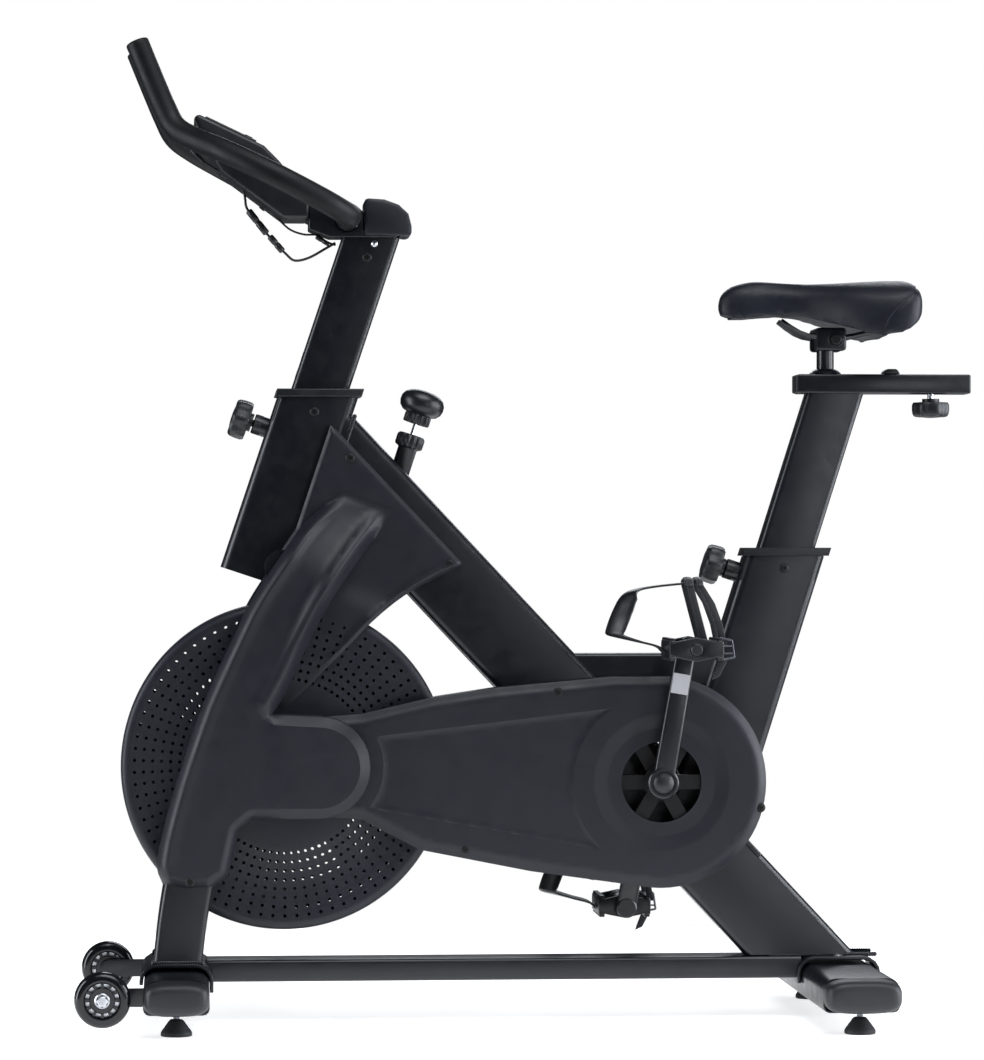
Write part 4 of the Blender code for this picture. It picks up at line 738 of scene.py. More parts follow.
# ---------------------------------------------------------------- painted frame, posts and rail
def box_tube(name, stations, width, radius):
    """Tube with round corners. Each station is a pair of (x, z) points on its front and back faces."""
    rows = []
    for front, back in stations:
        middle = (Vector(front) + Vector(back)) / 2
        way = Vector(back) - Vector(front)
        depth = way.length
        row = []
        for corner, (fore, side) in enumerate(((1, 1), (-1, 1), (-1, -1), (1, -1))):
            for step in range(6):
                angle = math.radians(90 * corner + 18 * step)
                reach = fore * (depth / 2 - radius) + radius * math.cos(angle)
                spot = middle + way / depth * reach
                row.append((spot.x, side * (width / 2 - radius) + radius * math.sin(angle), spot.y))
        rows.append(row)
    return coat(skinned(name, rows), PAINT)


def leaning(axis, tilt, z, offset=0.0):
    """The point at height z on a line that leans back and lies an offset behind the axis."""
    return (axis[0] + (z - axis[1]) * math.tan(tilt) + offset / math.cos(tilt), z)


def level_station(axis, tilt, depth, z):
    return leaning(axis, tilt, z, -depth / 2), leaning(axis, tilt, z, depth / 2)


def square_station(axis, tilt, depth, z):
    drop = depth / 2 * math.sin(tilt)
    return leaning(axis, tilt, z + drop, -depth / 2), leaning(axis, tilt, z - drop, depth / 2)


def down_tube_point(distance, shift):
    """A point along the down tube, shifted up square to it."""
    x, z = DOWN_TUBE_POINT
    return (x + distance * math.cos(DOWN_TUBE_SLOPE) + shift * math.sin(DOWN_TUBE_SLOPE),
            z - distance * math.sin(DOWN_TUBE_SLOPE) + shift * math.cos(DOWN_TUBE_SLOPE))


def down_tube_foot(shift, z):
    return down_tube_point((DOWN_TUBE_POINT[1] + shift * math.cos(DOWN_TUBE_SLOPE) - z)
                           / math.sin(DOWN_TUBE_SLOPE), shift)


def meets_down_tube(axis, tilt, offset):
    """Where a leaning line crosses the middle of the down tube."""
    slope, lean = math.tan(DOWN_TUBE_SLOPE), math.tan(tilt)
    foot = leaning(axis, tilt, axis[1], offset)[0] - axis[1] * lean
    z = (DOWN_TUBE_POINT[1] + slope * (DOWN_TUBE_POINT[0] - foot)) / (1 + slope * lean)
    return (foot + z * lean, z)


def pin_point(axis, tilt, z, out):
    """A point on a pull pin's axis, a distance out from the front face of its tube."""
    x = axis[0] + (z - axis[1]) * math.tan(tilt)
    reach = SLEEVE_DEPTH / 2 + out
    return (x - reach * math.cos(tilt), 0, z + reach * math.sin(tilt))


PINS = (("head", HEAD_AXIS, HEAD_TILT, 0.7240), ("seat", SEAT_AXIS, SEAT_TILT, 0.5440))


def pin_boss(axis, tilt, z):
    profile = [(0, -0.004), (0.0125, -0.004), (0.0125, 0.0168), (0.0116, 0.0180), (0.0060, 0.0180),
               (0.0058, 0.0100), (0, 0.0100)]
    return coat(turned("pin_boss", profile, pin_point(axis, tilt, z, 0), pin_point(axis, tilt, z, 1),
                       36), PAINT)


head_tube = box_tube("head_tube_steel", [square_station(HEAD_AXIS, HEAD_TILT, SLEEVE_DEPTH,
                                                        HEAD_AXIS[1]),
                                         level_station(HEAD_AXIS, HEAD_TILT, SLEEVE_DEPTH, 0.7768)],
                     SLEEVE_WIDTH, SLEEVE_CORNER)
fit(joined("head_tube_steel", [head_tube, pin_boss(*PINS[0][1:])]), "frame", "frame_paint", "head_tube")

brace_ends = [(down_tube_foot(0, z)[0], z) for z in (0.4150, 0.4570)]
brace = box_tube("brace", [brace_ends, [(leaning(SEAT_AXIS, SEAT_TILT, z)[0], z)
                                        for z in (0.4150, 0.4570)]], 0.038, 0.0050)
seat_tube = box_tube("seat_tube_steel", [(meets_down_tube(SEAT_AXIS, SEAT_TILT, -SLEEVE_DEPTH / 2),
                                          meets_down_tube(SEAT_AXIS, SEAT_TILT, SLEEVE_DEPTH / 2)),
                                         level_station(SEAT_AXIS, SEAT_TILT, SLEEVE_DEPTH, 0.5788)],
                     SLEEVE_WIDTH, SLEEVE_CORNER)
fit(joined("seat_tube_steel", [seat_tube, brace, pin_boss(*PINS[1][1:])]), "frame", "frame_paint",
    "seat_tube")

half_depth = DOWN_TUBE_DEPTH / 2
down_tube = box_tube("down_tube_steel", [(down_tube_point(-0.285, half_depth),
                                          down_tube_point(-0.260, -half_depth)),
                                         (down_tube_foot(half_depth, 0.0790),
                                          down_tube_foot(-half_depth, 0.0790))], 0.050, 0.0115)
crank_shell = across("crank_shell", CRANK_AXIS, [(0.0120, 0.036), (0.0260, 0.036), (0.0270, 0.035),
                                                 (0.0270, -0.035), (0.0260, -0.036), (0.0120, -0.036)],
                     48, True)
fit(joined("down_tube_steel", [down_tube, coat(crank_shell, PAINT)]), "frame", "frame_paint", "down_tube")

LEG_PATH = [(-0.4365, 0.0790), (-0.4290, 0.1400), (-0.4180, 0.2000), (-0.4030, 0.2600), (-0.3840, 0.3300),
            (-0.3600, 0.4000), (-0.3300, 0.4700), (-0.3080, 0.5200)]


def fork_leg():
    """Left leg: a flat tube that bends forward, its hub plate, and the boss that ties it to the head tube."""
    route = smooth_route([(x, 0, z) for x, z in LEG_PATH], 3)
    stations = []
    for i, point in enumerate(route):
        run = (route[min(i + 1, len(route) - 1)] - route[max(i - 1, 0)]).normalized()
        side = Vector((run.z, -run.x)) * 0.030 if i else Vector((0.030, 0))
        stations.append((Vector((point.x, point.z)) - side, Vector((point.x, point.z)) + side))
    tube = box_tube("leg_tube", stations, 0.024, 0.0070)
    tube.data.transform(Matrix.Translation((0, -0.068, 0)))
    crown = across("crown", (-0.3080, 0.5650), [(0, 0.0250), (0.0220, 0.0250), (0.0220, 0.0600),
                                                (0, 0.0600)], 40)
    plate = rounded(prism("plate", [(-0.400, 0.360), (-0.400, 0.270)] + arc(FLYWHEEL_AXIS, 0.026, -70,
                                                                            70, 14), -0.0820, -0.0760),
                    0.0012, 2)
    return joined("fork_leg_left_steel", [tube, coat(crown, PAINT), coat(plate, PAINT)])


fit_both(fork_leg(), "frame", "frame_paint", "fork_leg_left")
rail = box_tube("base_rail_steel", [((x, 0.0500), (x, 0.0775)) for x in (-0.400, 0.343)], 0.060, 0.0050)
fit(rail, "frame", "frame_paint", "base_rail")
for node, width in (("front_plate", 0.0010), ("rear_plate", 0.0010), ("front_stabilizer", 0.0006),
                    ("rear_stabilizer", 0.0006)):
    softened(node, width, PAINT, "frame", "frame_paint")


def post(name, axis, tilt, z_low, z_high, pin_z, below, above):
    """A post with its row of pin holes down the front face, each a thin near-black disc on the paint as
    painted shade.
    """
    tube = box_tube(name, [level_station(axis, tilt, POST_DEPTH, z) for z in (z_low, z_high)],
                    POST_WIDTH, 0.0075)
    pieces = [tube]
    x, z = leaning(axis, tilt, pin_z)
    for step in range(-below, above + 1):
        rise = step * 0.025
        middle = Vector((x + rise * math.sin(tilt), 0, z + rise * math.cos(tilt)))
        out = Vector((-math.cos(tilt), 0, math.sin(tilt)))
        # A thin near-black disc on the paint stands as painted shade in each hole.
        hole_shade_disc = turned("pin_hole", [(0, 0.00010), (0.0046, 0.00010), (0.0051, 0.00025), (0.0055, 0)],
                     middle + out * POST_DEPTH / 2, middle + out, 24)
        pieces.append(coat(hole_shade_disc, BLACK_OXIDE_AND_PAINTED_SHADE))
    return joined(name, pieces)


fit(post("handlebar_post_steel", HEAD_AXIS, HEAD_TILT, 0.645, 0.976, 0.7240, 2, 4), "handlebar_post",
    "frame_paint", "handlebar_post")
fit(post("seat_post_steel", SEAT_AXIS, SEAT_TILT, 0.425, 0.7840, 0.5440, 4, 6), "seat_post",
    "frame_paint", "seat_post")
softened("handlebar_clamp", 0.0025, PAINT, "handlebar_post", "frame_paint")
softened("seat_rail", 0.0012, PAINT, "seat_post", "frame_paint")
softened("seat_slider", 0.0015, PAINT, "seat_slider", "frame_paint")
softened("saddle_clamp", 0.0010, PAINT, "saddle", "zinc_steel")
for node in ("head_tube_collar", "seat_tube_collar"):
    softened(node, 0.0016, PLASTIC, "frame", "black_plastic")
softened("post_cover", 0.0020, COVER, "handlebar_post", "black_plastic")

# The crank pulley gets the near-black oxide: its own black, darkened further to stand as painted shade in the
# belt cover's opening.
for node, material in (("flywheel", IRON), ("flywheel_pulley", ALLOY), ("flywheel_axle", ZINC),
                       ("crank_pulley", BLACK_OXIDE_AND_PAINTED_SHADE), ("crank_spindle", ZINC), ("drive_belt", BELT),
                       ("head_lock_pin", BLACK_OXIDE_AND_PAINTED_SHADE), ("seat_lock_pin", BLACK_OXIDE_AND_PAINTED_SHADE), ("brake_rod", CHROME)):
    coat(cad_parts[node], material)

# ---------------------------------------------------------------- flywheel shroud
HOLES_AROUND = 78
HOLE_ROWS = 8
FIRST_ROW = 0.108
ROW_PITCH = 0.01114
FAR_FIRST_ROW = 0.1033            # the far half is drilled a little wider
FAR_ROW_PITCH = 0.01173
HOLE_RADIUS = 0.00215
DISH = 0.0032


def hole_cell():
    """A unit square with a round hole, three edges to a side, its rim marked."""
    border = [(-0.5 + i / 3, -0.5) for i in range(3)] + [(0.5, -0.5 + i / 3) for i in range(3)]
    border += [(-x, -z) for x, z in border]
    rim = [tuple(Vector(p).normalized()) for p in border]
    mesh = bpy.data.meshes.new("hole_cell")
    faces = [(i, (i + 1) % 12, 12 + (i + 1) % 12, 12 + i) for i in range(12)]
    mesh.from_pydata([(x, z, 0) for x, z in border + rim], [], faces)
    mark = mesh.attributes.new("on_rim", "FLOAT", "POINT")
    mark.data.foreach_set("value", [0.0] * 12 + [1.0] * 12)
    return new_object("hole_cell", mesh)


def shroud(name, first_row, pitch):
    """Left half of the shroud: a pan with a rolled rim and a dished, perforated band."""
    centre = (FLYWHEEL_AXIS[0], 0, FLYWHEEL_AXIS[1])
    band = grown(hole_cell(), PERFORATED_RING, {"Holes Around": float(HOLES_AROUND),
                                                "Rows": float(HOLE_ROWS), "First Row Radius": first_row,
                                                "Row Pitch": pitch, "Hole Radius": HOLE_RADIUS,
                                                "Dish": DISH, "Face": SHROUD_FACE, "Centre": centre,
                                                "Material": GUARD})
    inner = first_row - pitch / 2
    outer = first_row + pitch * (HOLE_ROWS - 0.5)
    steps = HOLES_AROUND * 3
    disc = across("disc", FLYWHEEL_AXIS, [(0.040, SHROUD_FACE), (0.070, SHROUD_FACE),
                                          (inner, SHROUD_FACE)], steps)
    rim = across("rim", FLYWHEEL_AXIS, [(outer, SHROUD_FACE), (0.1945, SHROUD_FACE),
                                        (0.1985, SHROUD_FACE - 0.0012), (0.2015, SHROUD_FACE - 0.0040),
                                        (SHROUD_RADIUS, SHROUD_FACE - 0.0085), (SHROUD_RADIUS, 0.0012),
                                        (SHROUD_RADIUS - 0.001, 0.0004)], steps)
    whole = joined(name, [band, disc, rim])
    work = bmesh.new()
    work.from_mesh(whole.data)
    bmesh.ops.remove_doubles(work, verts=work.verts, dist=0.0006)
    face_out(work)
    work.to_mesh(whole.data)
    work.free()
    return coat(thickened(whole, SKIN), GUARD)


guard = shroud("shroud_left_skin", FIRST_ROW, ROW_PITCH)
fit(guard, "frame", "cover_plastic", "shroud_left")
far_guard = shroud("shroud_far", FAR_FIRST_ROW, FAR_ROW_PITCH)
fit(mirrored(far_guard, "shroud_right_skin"), "frame", "cover_plastic", "shroud_right")
bpy.data.objects.remove(far_guard, do_unlink=True)

# ---------------------------------------------------------------- belt cover
BELT_COVER_OUTLINE = ([(-0.3430, 0.3500), (-0.3100, 0.3760), (-0.2100, 0.3835), (-0.1215, 0.4041),
                       (-0.0469, 0.4153), (0.1000, 0.4290)] + arc(CRANK_AXIS, 0.1318, 84, -95,
                                                                  36) + [(0.0000, 0.1880),
                                                                         (-0.1364, 0.2150),
                                                                         (-0.2100, 0.2530),
                                                                         (-0.3100, 0.2620),
                                                                         (-0.3430, 0.2880)])
PILL_CENTRE = (-0.2627, 0.3184)
PILL_RADIUS = 0.0636


def ramp(value, low, high):
    """0 below low, 1 above high, and smooth between."""
    share = np.clip((value - low) / (high - low), 0, 1)
    return share * share * (3 - 2 * share)


def panel_loop():
    """Outline of the shallow panel between the hub cover and the crank's ring."""
    return arc(PILL_CENTRE, 0.0800, -40, 28, 12) + arc(CRANK_AXIS, 0.1110, 124, 229, 22)


def belt_cover_face(x, z, distance):
    """A sloped band round the edge, a shallow panel, and a stepped ring down to the crank's opening."""
    height = BELT_COVER_FACE - 0.0105 * (1 - ramp(distance, -0.004, 0.0125))
    spots = np.stack([x, z], axis=-1)
    inside, gap = inside_and_distance(spots, panel_loop())
    height -= 0.0016 * np.where(inside, ramp(gap, 0.0, 0.0022), 0)
    radius = np.hypot(x - CRANK_AXIS[0], z - CRANK_AXIS[1])
    return height - 0.0032 * (1 - np.clip((radius - 0.067) / 0.018, 0, 1))


def in_shroud(x, z):
    return math.hypot(x - FLYWHEEL_AXIS[0], z - FLYWHEEL_AXIS[1]) < SHROUD_RADIUS + 0.0016


def belt_cover_back(x, z):
    if math.hypot(x - CRANK_AXIS[0], z - CRANK_AXIS[1]) < 0.060:
        return BELT_COVER_FACE - 0.0075
    return SHROUD_FACE + 0.0014 if in_shroud(x, z) else 0.0300


def offset_loop(loop, inset, spacing):
    """Points beside a closed outline, at a distance to its left."""
    points = resampled(loop, spacing)
    beside = []
    for i, point in enumerate(points):
        run = Vector(points[(i + 1) % len(points)]) - Vector(points[i - 1])
        beside.append(tuple(Vector(point) + Vector((-run.y, run.x)).normalized() * inset))
    return beside


panel_creases = [offset_loop(panel_loop(), inset, 0.003) for inset in (-0.0004, 0.0, 0.0011, 0.0022, 0.0028)]
ring_creases = [arc(CRANK_AXIS, r, 0, 357, 119) for r in (0.054, 0.0600, 0.0664, 0.0670, 0.0760, 0.0850,
                                                          0.0856)]
belt_cover = moulded_skin("belt_cover_skin", BELT_COVER_OUTLINE, belt_cover_face, belt_cover_back,
                          0.0125, 0.005, [arc(CRANK_AXIS, 0.050, 0, 356, 89)],
                          panel_creases + ring_creases)
fit(coat(belt_cover, COVER), "frame", "cover_plastic", "belt_cover", angle=45)

# ---------------------------------------------------------------- fork covers and frame covers
FORK_LEFT_EDGE = [(-0.4550, 0.1760), (-0.4620, 0.1970), (-0.4560, 0.2350), (-0.4370, 0.3050),
                  (-0.4050, 0.3975), (-0.3700, 0.4750), (-0.3519, 0.5134), (-0.3345, 0.5430),
                  (-0.3048, 0.5863), (-0.2876, 0.6110), (-0.2730, 0.6270), (-0.2534, 0.6440),
                  (-0.2315, 0.6590)]
FORK_RIGHT_EDGE = [(-0.1706, 0.6362), (-0.1850, 0.6107), (-0.2065, 0.5830), (-0.2256, 0.5571),
                   (-0.2547, 0.5120), (-0.2790, 0.4640), (-0.2960, 0.4260), (-0.3120, 0.3960)]


def flat_route(points, pieces):
    return [(p.x, p.z) for p in smooth_route([(x, 0, z) for x, z in points], pieces)]


FORK_COVER_OUTLINE = (flat_route(FORK_LEFT_EDGE, 3) + flat_route(FORK_RIGHT_EDGE,
                                                                 3) + [(-0.3200, 0.3850),
                                                                       (-0.2627,
                                                                        0.3820)] + arc(PILL_CENTRE,
                                                                                       PILL_RADIUS, 80,
                                                                                       -80,
                                                                                       24) + [(-0.2627,
                                                                                               0.2548),
                                                                                              (-0.3450,
                                                                                               0.2548),
                                                                                              (-0.3620,
                                                                                               0.2400),
                                                                                              (-0.3740,
                                                                                               0.1860),
                                                                                              (-0.3960,
                                                                                               0.1700),
                                                                                              (-0.4300,
                                                                                               0.1680)])


def distance_to_run(x, z, run):
    """How far each point lies from an open run of points."""
    start, end = np.array(run[:-1]), np.array(run[1:])
    step = end - start
    to_point = np.stack([x, z], axis=-1)[:, None, :] - start[None]
    share = np.clip((to_point * step).sum(-1) / (step ** 2).sum(-1), 0, 1)
    return np.linalg.norm(to_point - share[..., None] * step, axis=-1).min(axis=1)


def fork_cover_face(x, z, distance):
    """A hood with a round ridge down each edge. It sinks into the frame cover at its top.

    At the hub it turns into a flat cover with a bevelled edge.
    """
    down = (x + 0.2009) * -0.545 + (z - 0.6480) * -0.838
    to_right = distance_to_run(x, z, FORK_RIGHT_EDGE)
    to_left = distance_to_run(x, z, FORK_LEFT_EDGE)
    near_right = to_right < to_left
    width = np.where(near_right, 0.0220, 0.0150)
    shoulder = 0.0160 * ramp(down, -0.010, 0.050) * (1 - np.clip(distance / width, 0, 1)) ** 2.4
    fade = 1 - 0.6 * ramp(down, 0.12, 0.26)
    right_ridge = 0.0110 * ramp(down, -0.006, 0.045) * fade * np.exp(-((to_right - 0.0150) / 0.0095) ** 2)
    left_ridge = 0.0050 * ramp(down, 0.010, 0.070) * fade * np.exp(-((to_left - 0.0110) / 0.0075) ** 2)
    rise = FORK_COVER_FACE - 0.0050 - FRAME_COVER_FACE
    hood = FRAME_COVER_FACE + 0.0012 + rise * ramp(down, -0.005, 0.125) - shoulder + right_ridge + left_ridge
    flat_bevel = FORK_COVER_FACE - 0.0135 + 0.0120 * np.clip(distance / 0.0135, 0, 1)
    at_hub = ramp(x, -0.335, -0.300) * ramp(z, 0.245, 0.255) * (1 - ramp(z, 0.385, 0.395))
    return np.maximum(hood, FRAME_COVER_FACE + 0.0010) * (1 - at_hub) + flat_bevel * at_hub


def fork_cover_back(x, z):
    over_belt, gap = inside_and_distance([(x, z)], BELT_COVER_OUTLINE)
    if over_belt[0] or gap[0] < 0.002:
        return BELT_COVER_FACE + 0.0010
    return SHROUD_FACE + 0.0014 if in_shroud(x, z) else FRAME_COVER_FACE + 0.0004


hub_creases = [offset_loop(FORK_COVER_OUTLINE, -inset, 0.003) for inset in (0.0128, 0.0135, 0.0142)]
fork_cover = coat(moulded_skin("fork_cover_left_skin", FORK_COVER_OUTLINE, fork_cover_face,
                               fork_cover_back, 0.0200, 0.005, creases=hub_creases), COVER)
fit_both(fork_cover, "frame", "cover_plastic", "fork_cover_left", angle=50)

FRAME_COVER_OUTLINE = ([(-0.2473, 0.7419), (-0.2348, 0.7306), (-0.0848, 0.5719),
                        (-0.0848, 0.5679)] + flat_route([(-0.0869, 0.5660), (-0.1162, 0.5520),
                                                         (-0.1554, 0.5299), (-0.1946, 0.4990),
                                                         (-0.2239, 0.4688), (-0.2533, 0.4394),
                                                         (-0.2760, 0.4160), (-0.3040, 0.3900)],
                                                        3) + [(-0.3180, 0.3960), (-0.3323, 0.5494),
                                                              (-0.2898, 0.6144)])


def frame_cover_face(x, z, distance):
    """Flat, with a rounded edge, folded back beside the head tube and swept out over the shroud."""
    beside_crease = ((x + 0.2598) * math.cos(0.2776) - (z - 0.7194) * math.sin(0.2776))
    fold = 0.55 * np.clip(-beside_crease, 0, 0.02)
    radius = np.hypot(x - FLYWHEEL_AXIS[0], z - FLYWHEEL_AXIS[1])
    over_shroud = 1 - ramp(radius, 0.206, 0.250)
    lift = 0.0064 + 0.0030 * ramp(z, 0.405, 0.460)
    lip = 0.0022 * ramp(z, 0.425, 0.480) * np.exp(-((distance - 0.0050) / 0.0030) ** 2) * ramp(-z,
                                                                                               -0.580,
                                                                                               -0.560)
    face = FRAME_COVER_FACE - fold * (1 - over_shroud) + lift * over_shroud + lip
    return face - (0.0045 - 0.0040 * over_shroud) * (1 - ramp(distance, -0.002, 0.0055))


def frame_cover_back(x, z):
    return SHROUD_FACE + 0.0006 if in_shroud(x, z) else 0.0266


def cover_holes():
    """The shroud's perforations carry on through the part of the cover that lies over it."""
    loops = []
    for row in range(HOLE_ROWS):
        for i in range(HOLES_AROUND):
            angle = 2 * math.pi * (i - (HOLES_AROUND - 1) / 2) / HOLES_AROUND
            reach = FIRST_ROW + row * ROW_PITCH
            centre = (FLYWHEEL_AXIS[0] + reach * math.cos(angle), FLYWHEEL_AXIS[1] + reach * math.sin(angle))
            inside, gap = inside_and_distance([centre], FRAME_COVER_OUTLINE)
            if inside[0] and gap[0] > 0.0060:
                loops.append(arc(centre, HOLE_RADIUS, 0, 330, 11))
    return loops


crease_run = [[tuple(Vector((-0.2598, 0.7194)).lerp(Vector((-0.3323, 0.4654)), i / 80) + Vector((side, 0)))
               for i in range(81)] for side in (-0.0008, 0.0, 0.0008)]
frame_cover = coat(moulded_skin("frame_cover_left_skin", FRAME_COVER_OUTLINE, frame_cover_face,
                                frame_cover_back, 0.0055, 0.005, cover_holes(), crease_run), COVER)
fit_both(frame_cover, "frame", "cover_plastic", "frame_cover_left", angle=50)

# ---------------------------------------------------------------- cover screws and frame bolts
COVER_SCREWS = [((-0.3700, 0.4995), 0.0426), ((-0.4850, 0.3850), 0.0402), ((-0.1350, 0.4180), 0.0402),
                ((-0.2375, 0.1370), 0.0402), ((-0.2230, 0.7010), FRAME_COVER_FACE),
                ((-0.0990, 0.5690), 0.0392), ((-0.4215, 0.1790), 0.0905)]
BELT_SCREWS = [((0.0340, 0.4100), 0.0668), ((-0.0810, 0.2165), 0.0668), ((0.2870, 0.2660), 0.0640)]
TUBE_SCREWS = [((-0.2670, 0.7586), 0.0262), ((0.3220, 0.5640), 0.0262)]
screw_places = [((x, side * y, z), (0, side, 0)) for (x, z),
                y in COVER_SCREWS + TUBE_SCREWS for side in (-1, 1)]
screw_places += [((x, -y, z), (0, -1, 0)) for (x, z), y in BELT_SCREWS]
fit(set_out("cover_screws", SCREW, screw_places, BLACK_OXIDE_AND_PAINTED_SHADE, SCREW_RADIUS), "frame", "black_plastic")
post_screws = [((-0.2010, side * 0.0171, 0.9520), (0, side, 0)) for side in (-1, 1)]
fit(set_out("post_screws", SCREW, post_screws, BLACK_OXIDE_AND_PAINTED_SHADE, SCREW_RADIUS), "handlebar_post", "black_plastic")
post_bolts = [((-0.1920, side * 0.0171, 0.9690), (0, side, 0)) for side in (-1, 1)]
fit(set_out("post_bolts", DOME_BOLT, post_bolts, ZINC, 0.0042), "handlebar_post", "zinc_steel")
plate_bolts = [((x, side * y, 0.0768), (0, 0, 1))
               for x, y in ((REAR_FOOT_X, 0.033), (FRONT_FOOT_X + 0.022, 0.040)) for side in (-1, 1)]
fit(set_out("plate_bolts", DOME_BOLT, plate_bolts, ZINC, 0.0070), "frame", "zinc_steel")


def weld_beads():
    """Rows of small overlapping ripples where the painted tubes meet, under the same paint."""
    def run(start, end, side):
        count = round(math.dist(start, end) / 0.0030)
        return [((start[0] + (end[0] - start[0]) * i / count, side,
                  start[1] + (end[1] - start[1]) * i / count), (0, math.copysign(1, side), 0))
                for i in range(count + 1)]
    places = []
    for side in (-0.0255, 0.0255):
        places += run((-0.2170, 0.7530), (-0.2640, 0.6140), side)
        places += run((0.2080, 0.2950), (0.2900, 0.2050), side)
    for side in (-0.0240, 0.0240):
        places += run((0.3060, 0.0790), (0.4370, 0.0790), side)
    for side in (-0.0800, -0.0560, 0.0560, 0.0800):
        places += run((-0.4660, 0.0790), (-0.4070, 0.0790), side)
    ripple = lathe_shape("ripple", [(0, 0.45), (0.5, 0.36), (0.85, 0.15), (1.0, -0.1)], 8)
    beads = set_out("weld_beads", ripple, places, PAINT, 0.0030)
    bpy.data.objects.remove(ripple, do_unlink=True)
    return beads


fit(weld_beads(), "frame", "frame_paint", angle=60)

# ---------------------------------------------------------------- base: end caps, feet and transport wheels
def end_cap(name, x, depth, half_length):
    """Soft-nosed cap: stacked outlines that close in towards its outer end."""
    rings = []
    power = 2 / 3.4
    for share in (0.0, 0.30, 0.62, 0.80, 0.92, 0.98, 1.0):
        inset = 0.0120 * (1 - math.sqrt(1 - share ** 4)) if share < 1 else 0.0145
        y = -half_length + CAP_LENGTH * (1 - share) - (0.0003 if share == 0 else 0)
        half_x = depth / 2 - inset
        half_z = STABILIZER_HEIGHT / 2 - inset * 0.9
        ring = []
        for i in range(48):
            angle = 2 * math.pi * i / 48
            cosine, sine = math.cos(angle), math.sin(angle)
            rise = half_z * math.copysign(abs(sine) ** power, sine)
            ring.append((x + half_x * math.copysign(abs(cosine) ** power, cosine), y,
                         STABILIZER_LOW + STABILIZER_HEIGHT / 2 + rise))
        rings.append(ring)
    return coat(skinned(name, rings), CAP)


for end, x, depth, half in (("front", FRONT_FOOT_X, 0.0800, 0.222), ("rear", REAR_FOOT_X, 0.0940, 0.250)):
    fit_both(end_cap(end + "_cap_left_nose", x, depth, half), "frame", "cover_plastic", end + "_cap_left")


def levelling_foot(name, x, y):
    """A ribbed rubber cone on a threaded steel stem."""
    cone = [(0, 0.0200), (0.0072, 0.0200), (0.0085, 0.0190)]
    cone += [(0.0085 + 0.0098 * i / 6 + (0.0003 if i % 2 else 0), 0.0190 - 0.0135 * i / 6)
             for i in range(1, 7)]
    cone += [(0.0190, 0.0042), (0.0190, 0.0008), (0.0180, 0.0), (0, 0.0)]
    rubber = coat(turned(name + "_rubber", cone, (x, y, 0), (x, y, 1), 40), RUBBER)
    thread = [(0.0040 if i % 2 else 0.0035, 0.0440 - 0.0006 * i) for i in range(41)]
    stem = turned(name + "_stem", [(0, 0.0440)] + thread + [(0, 0.0194)], (x, y, 0), (x, y, 1), 20)
    return joined(name + "_levelling_foot", [rubber, coat(stem, ZINC)])


for end, x, half in (("front", FRONT_FOOT_X, 0.170), ("rear", REAR_FOOT_X, 0.205)):
    for side, label in ((-1, "left"), (1, "right")):
        name = end + "_foot_" + label
        fit(levelling_foot(name, x, side * half), name, "foot_rubber", name)


def transport_wheel():
    """Left wheel: a glossy tyre round a spoked hub, a pale ring showing between the spokes."""
    face = WHEEL_Y + 0.012
    back = WHEEL_Y - 0.012
    tyre = across("tyre", WHEEL_AXIS, [(0.0205, face - 0.0030), (0.0222, face - 0.0006), (0.0275, face),
                                       (0.0310, face - 0.0018), (0.0332, face - 0.0055),
                                       (WHEEL_RADIUS, face - 0.0110), (WHEEL_RADIUS, back + 0.0110),
                                       (0.0332, back + 0.0055), (0.0310, back + 0.0018), (0.0275, back),
                                       (0.0222, back + 0.0006), (0.0205, back + 0.0030)], 56, True)
    hub = across("hub", WHEEL_AXIS, [(0.0046, face - 0.0020), (0.0148, face - 0.0020),
                                     (0.0158, face - 0.0030), (0.0158, back + 0.0030),
                                     (0.0148, back + 0.0020), (0.0046, back + 0.0020)], 40, True)
    ring = across("ring", WHEEL_AXIS, [(0.0150, WHEEL_Y + 0.0020), (0.0212, WHEEL_Y + 0.0020),
                                       (0.0212, WHEEL_Y - 0.0020), (0.0150, WHEEL_Y - 0.0020)], 40, True)
    spokes = []
    for i in range(12):
        angle = 2 * math.pi * i / 12
        out = Vector((math.cos(angle), math.sin(angle)))
        side = Vector((-out.y, out.x))
        corners = [Vector(WHEEL_AXIS) + out * r + side * s
                   for r, s in ((0.0150, -0.0015), (0.0212, -0.0021), (0.0212, 0.0021), (0.0150, 0.0015))]
        spokes.append(prism("spoke", [tuple(c) for c in corners], -face + 0.0026, -back - 0.0026))
    dark = [coat(piece, URETHANE) for piece in [tyre, hub] + spokes]
    return joined("transport_wheel_left_tyre", dark + [coat(ring, ZINC)])


fit_both(transport_wheel(), "transport_wheel_left", "wheel_plastic", "transport_wheel_left")
wheel_bolts = [((WHEEL_AXIS[0], side * (WHEEL_Y + 0.0130), WHEEL_AXIS[1]), (0, side, 0)) for side in (-1, 1)]
fit(set_out("wheel_bolts", HEX_BOLT, wheel_bolts, ZINC, 0.0092), "frame", "zinc_steel")


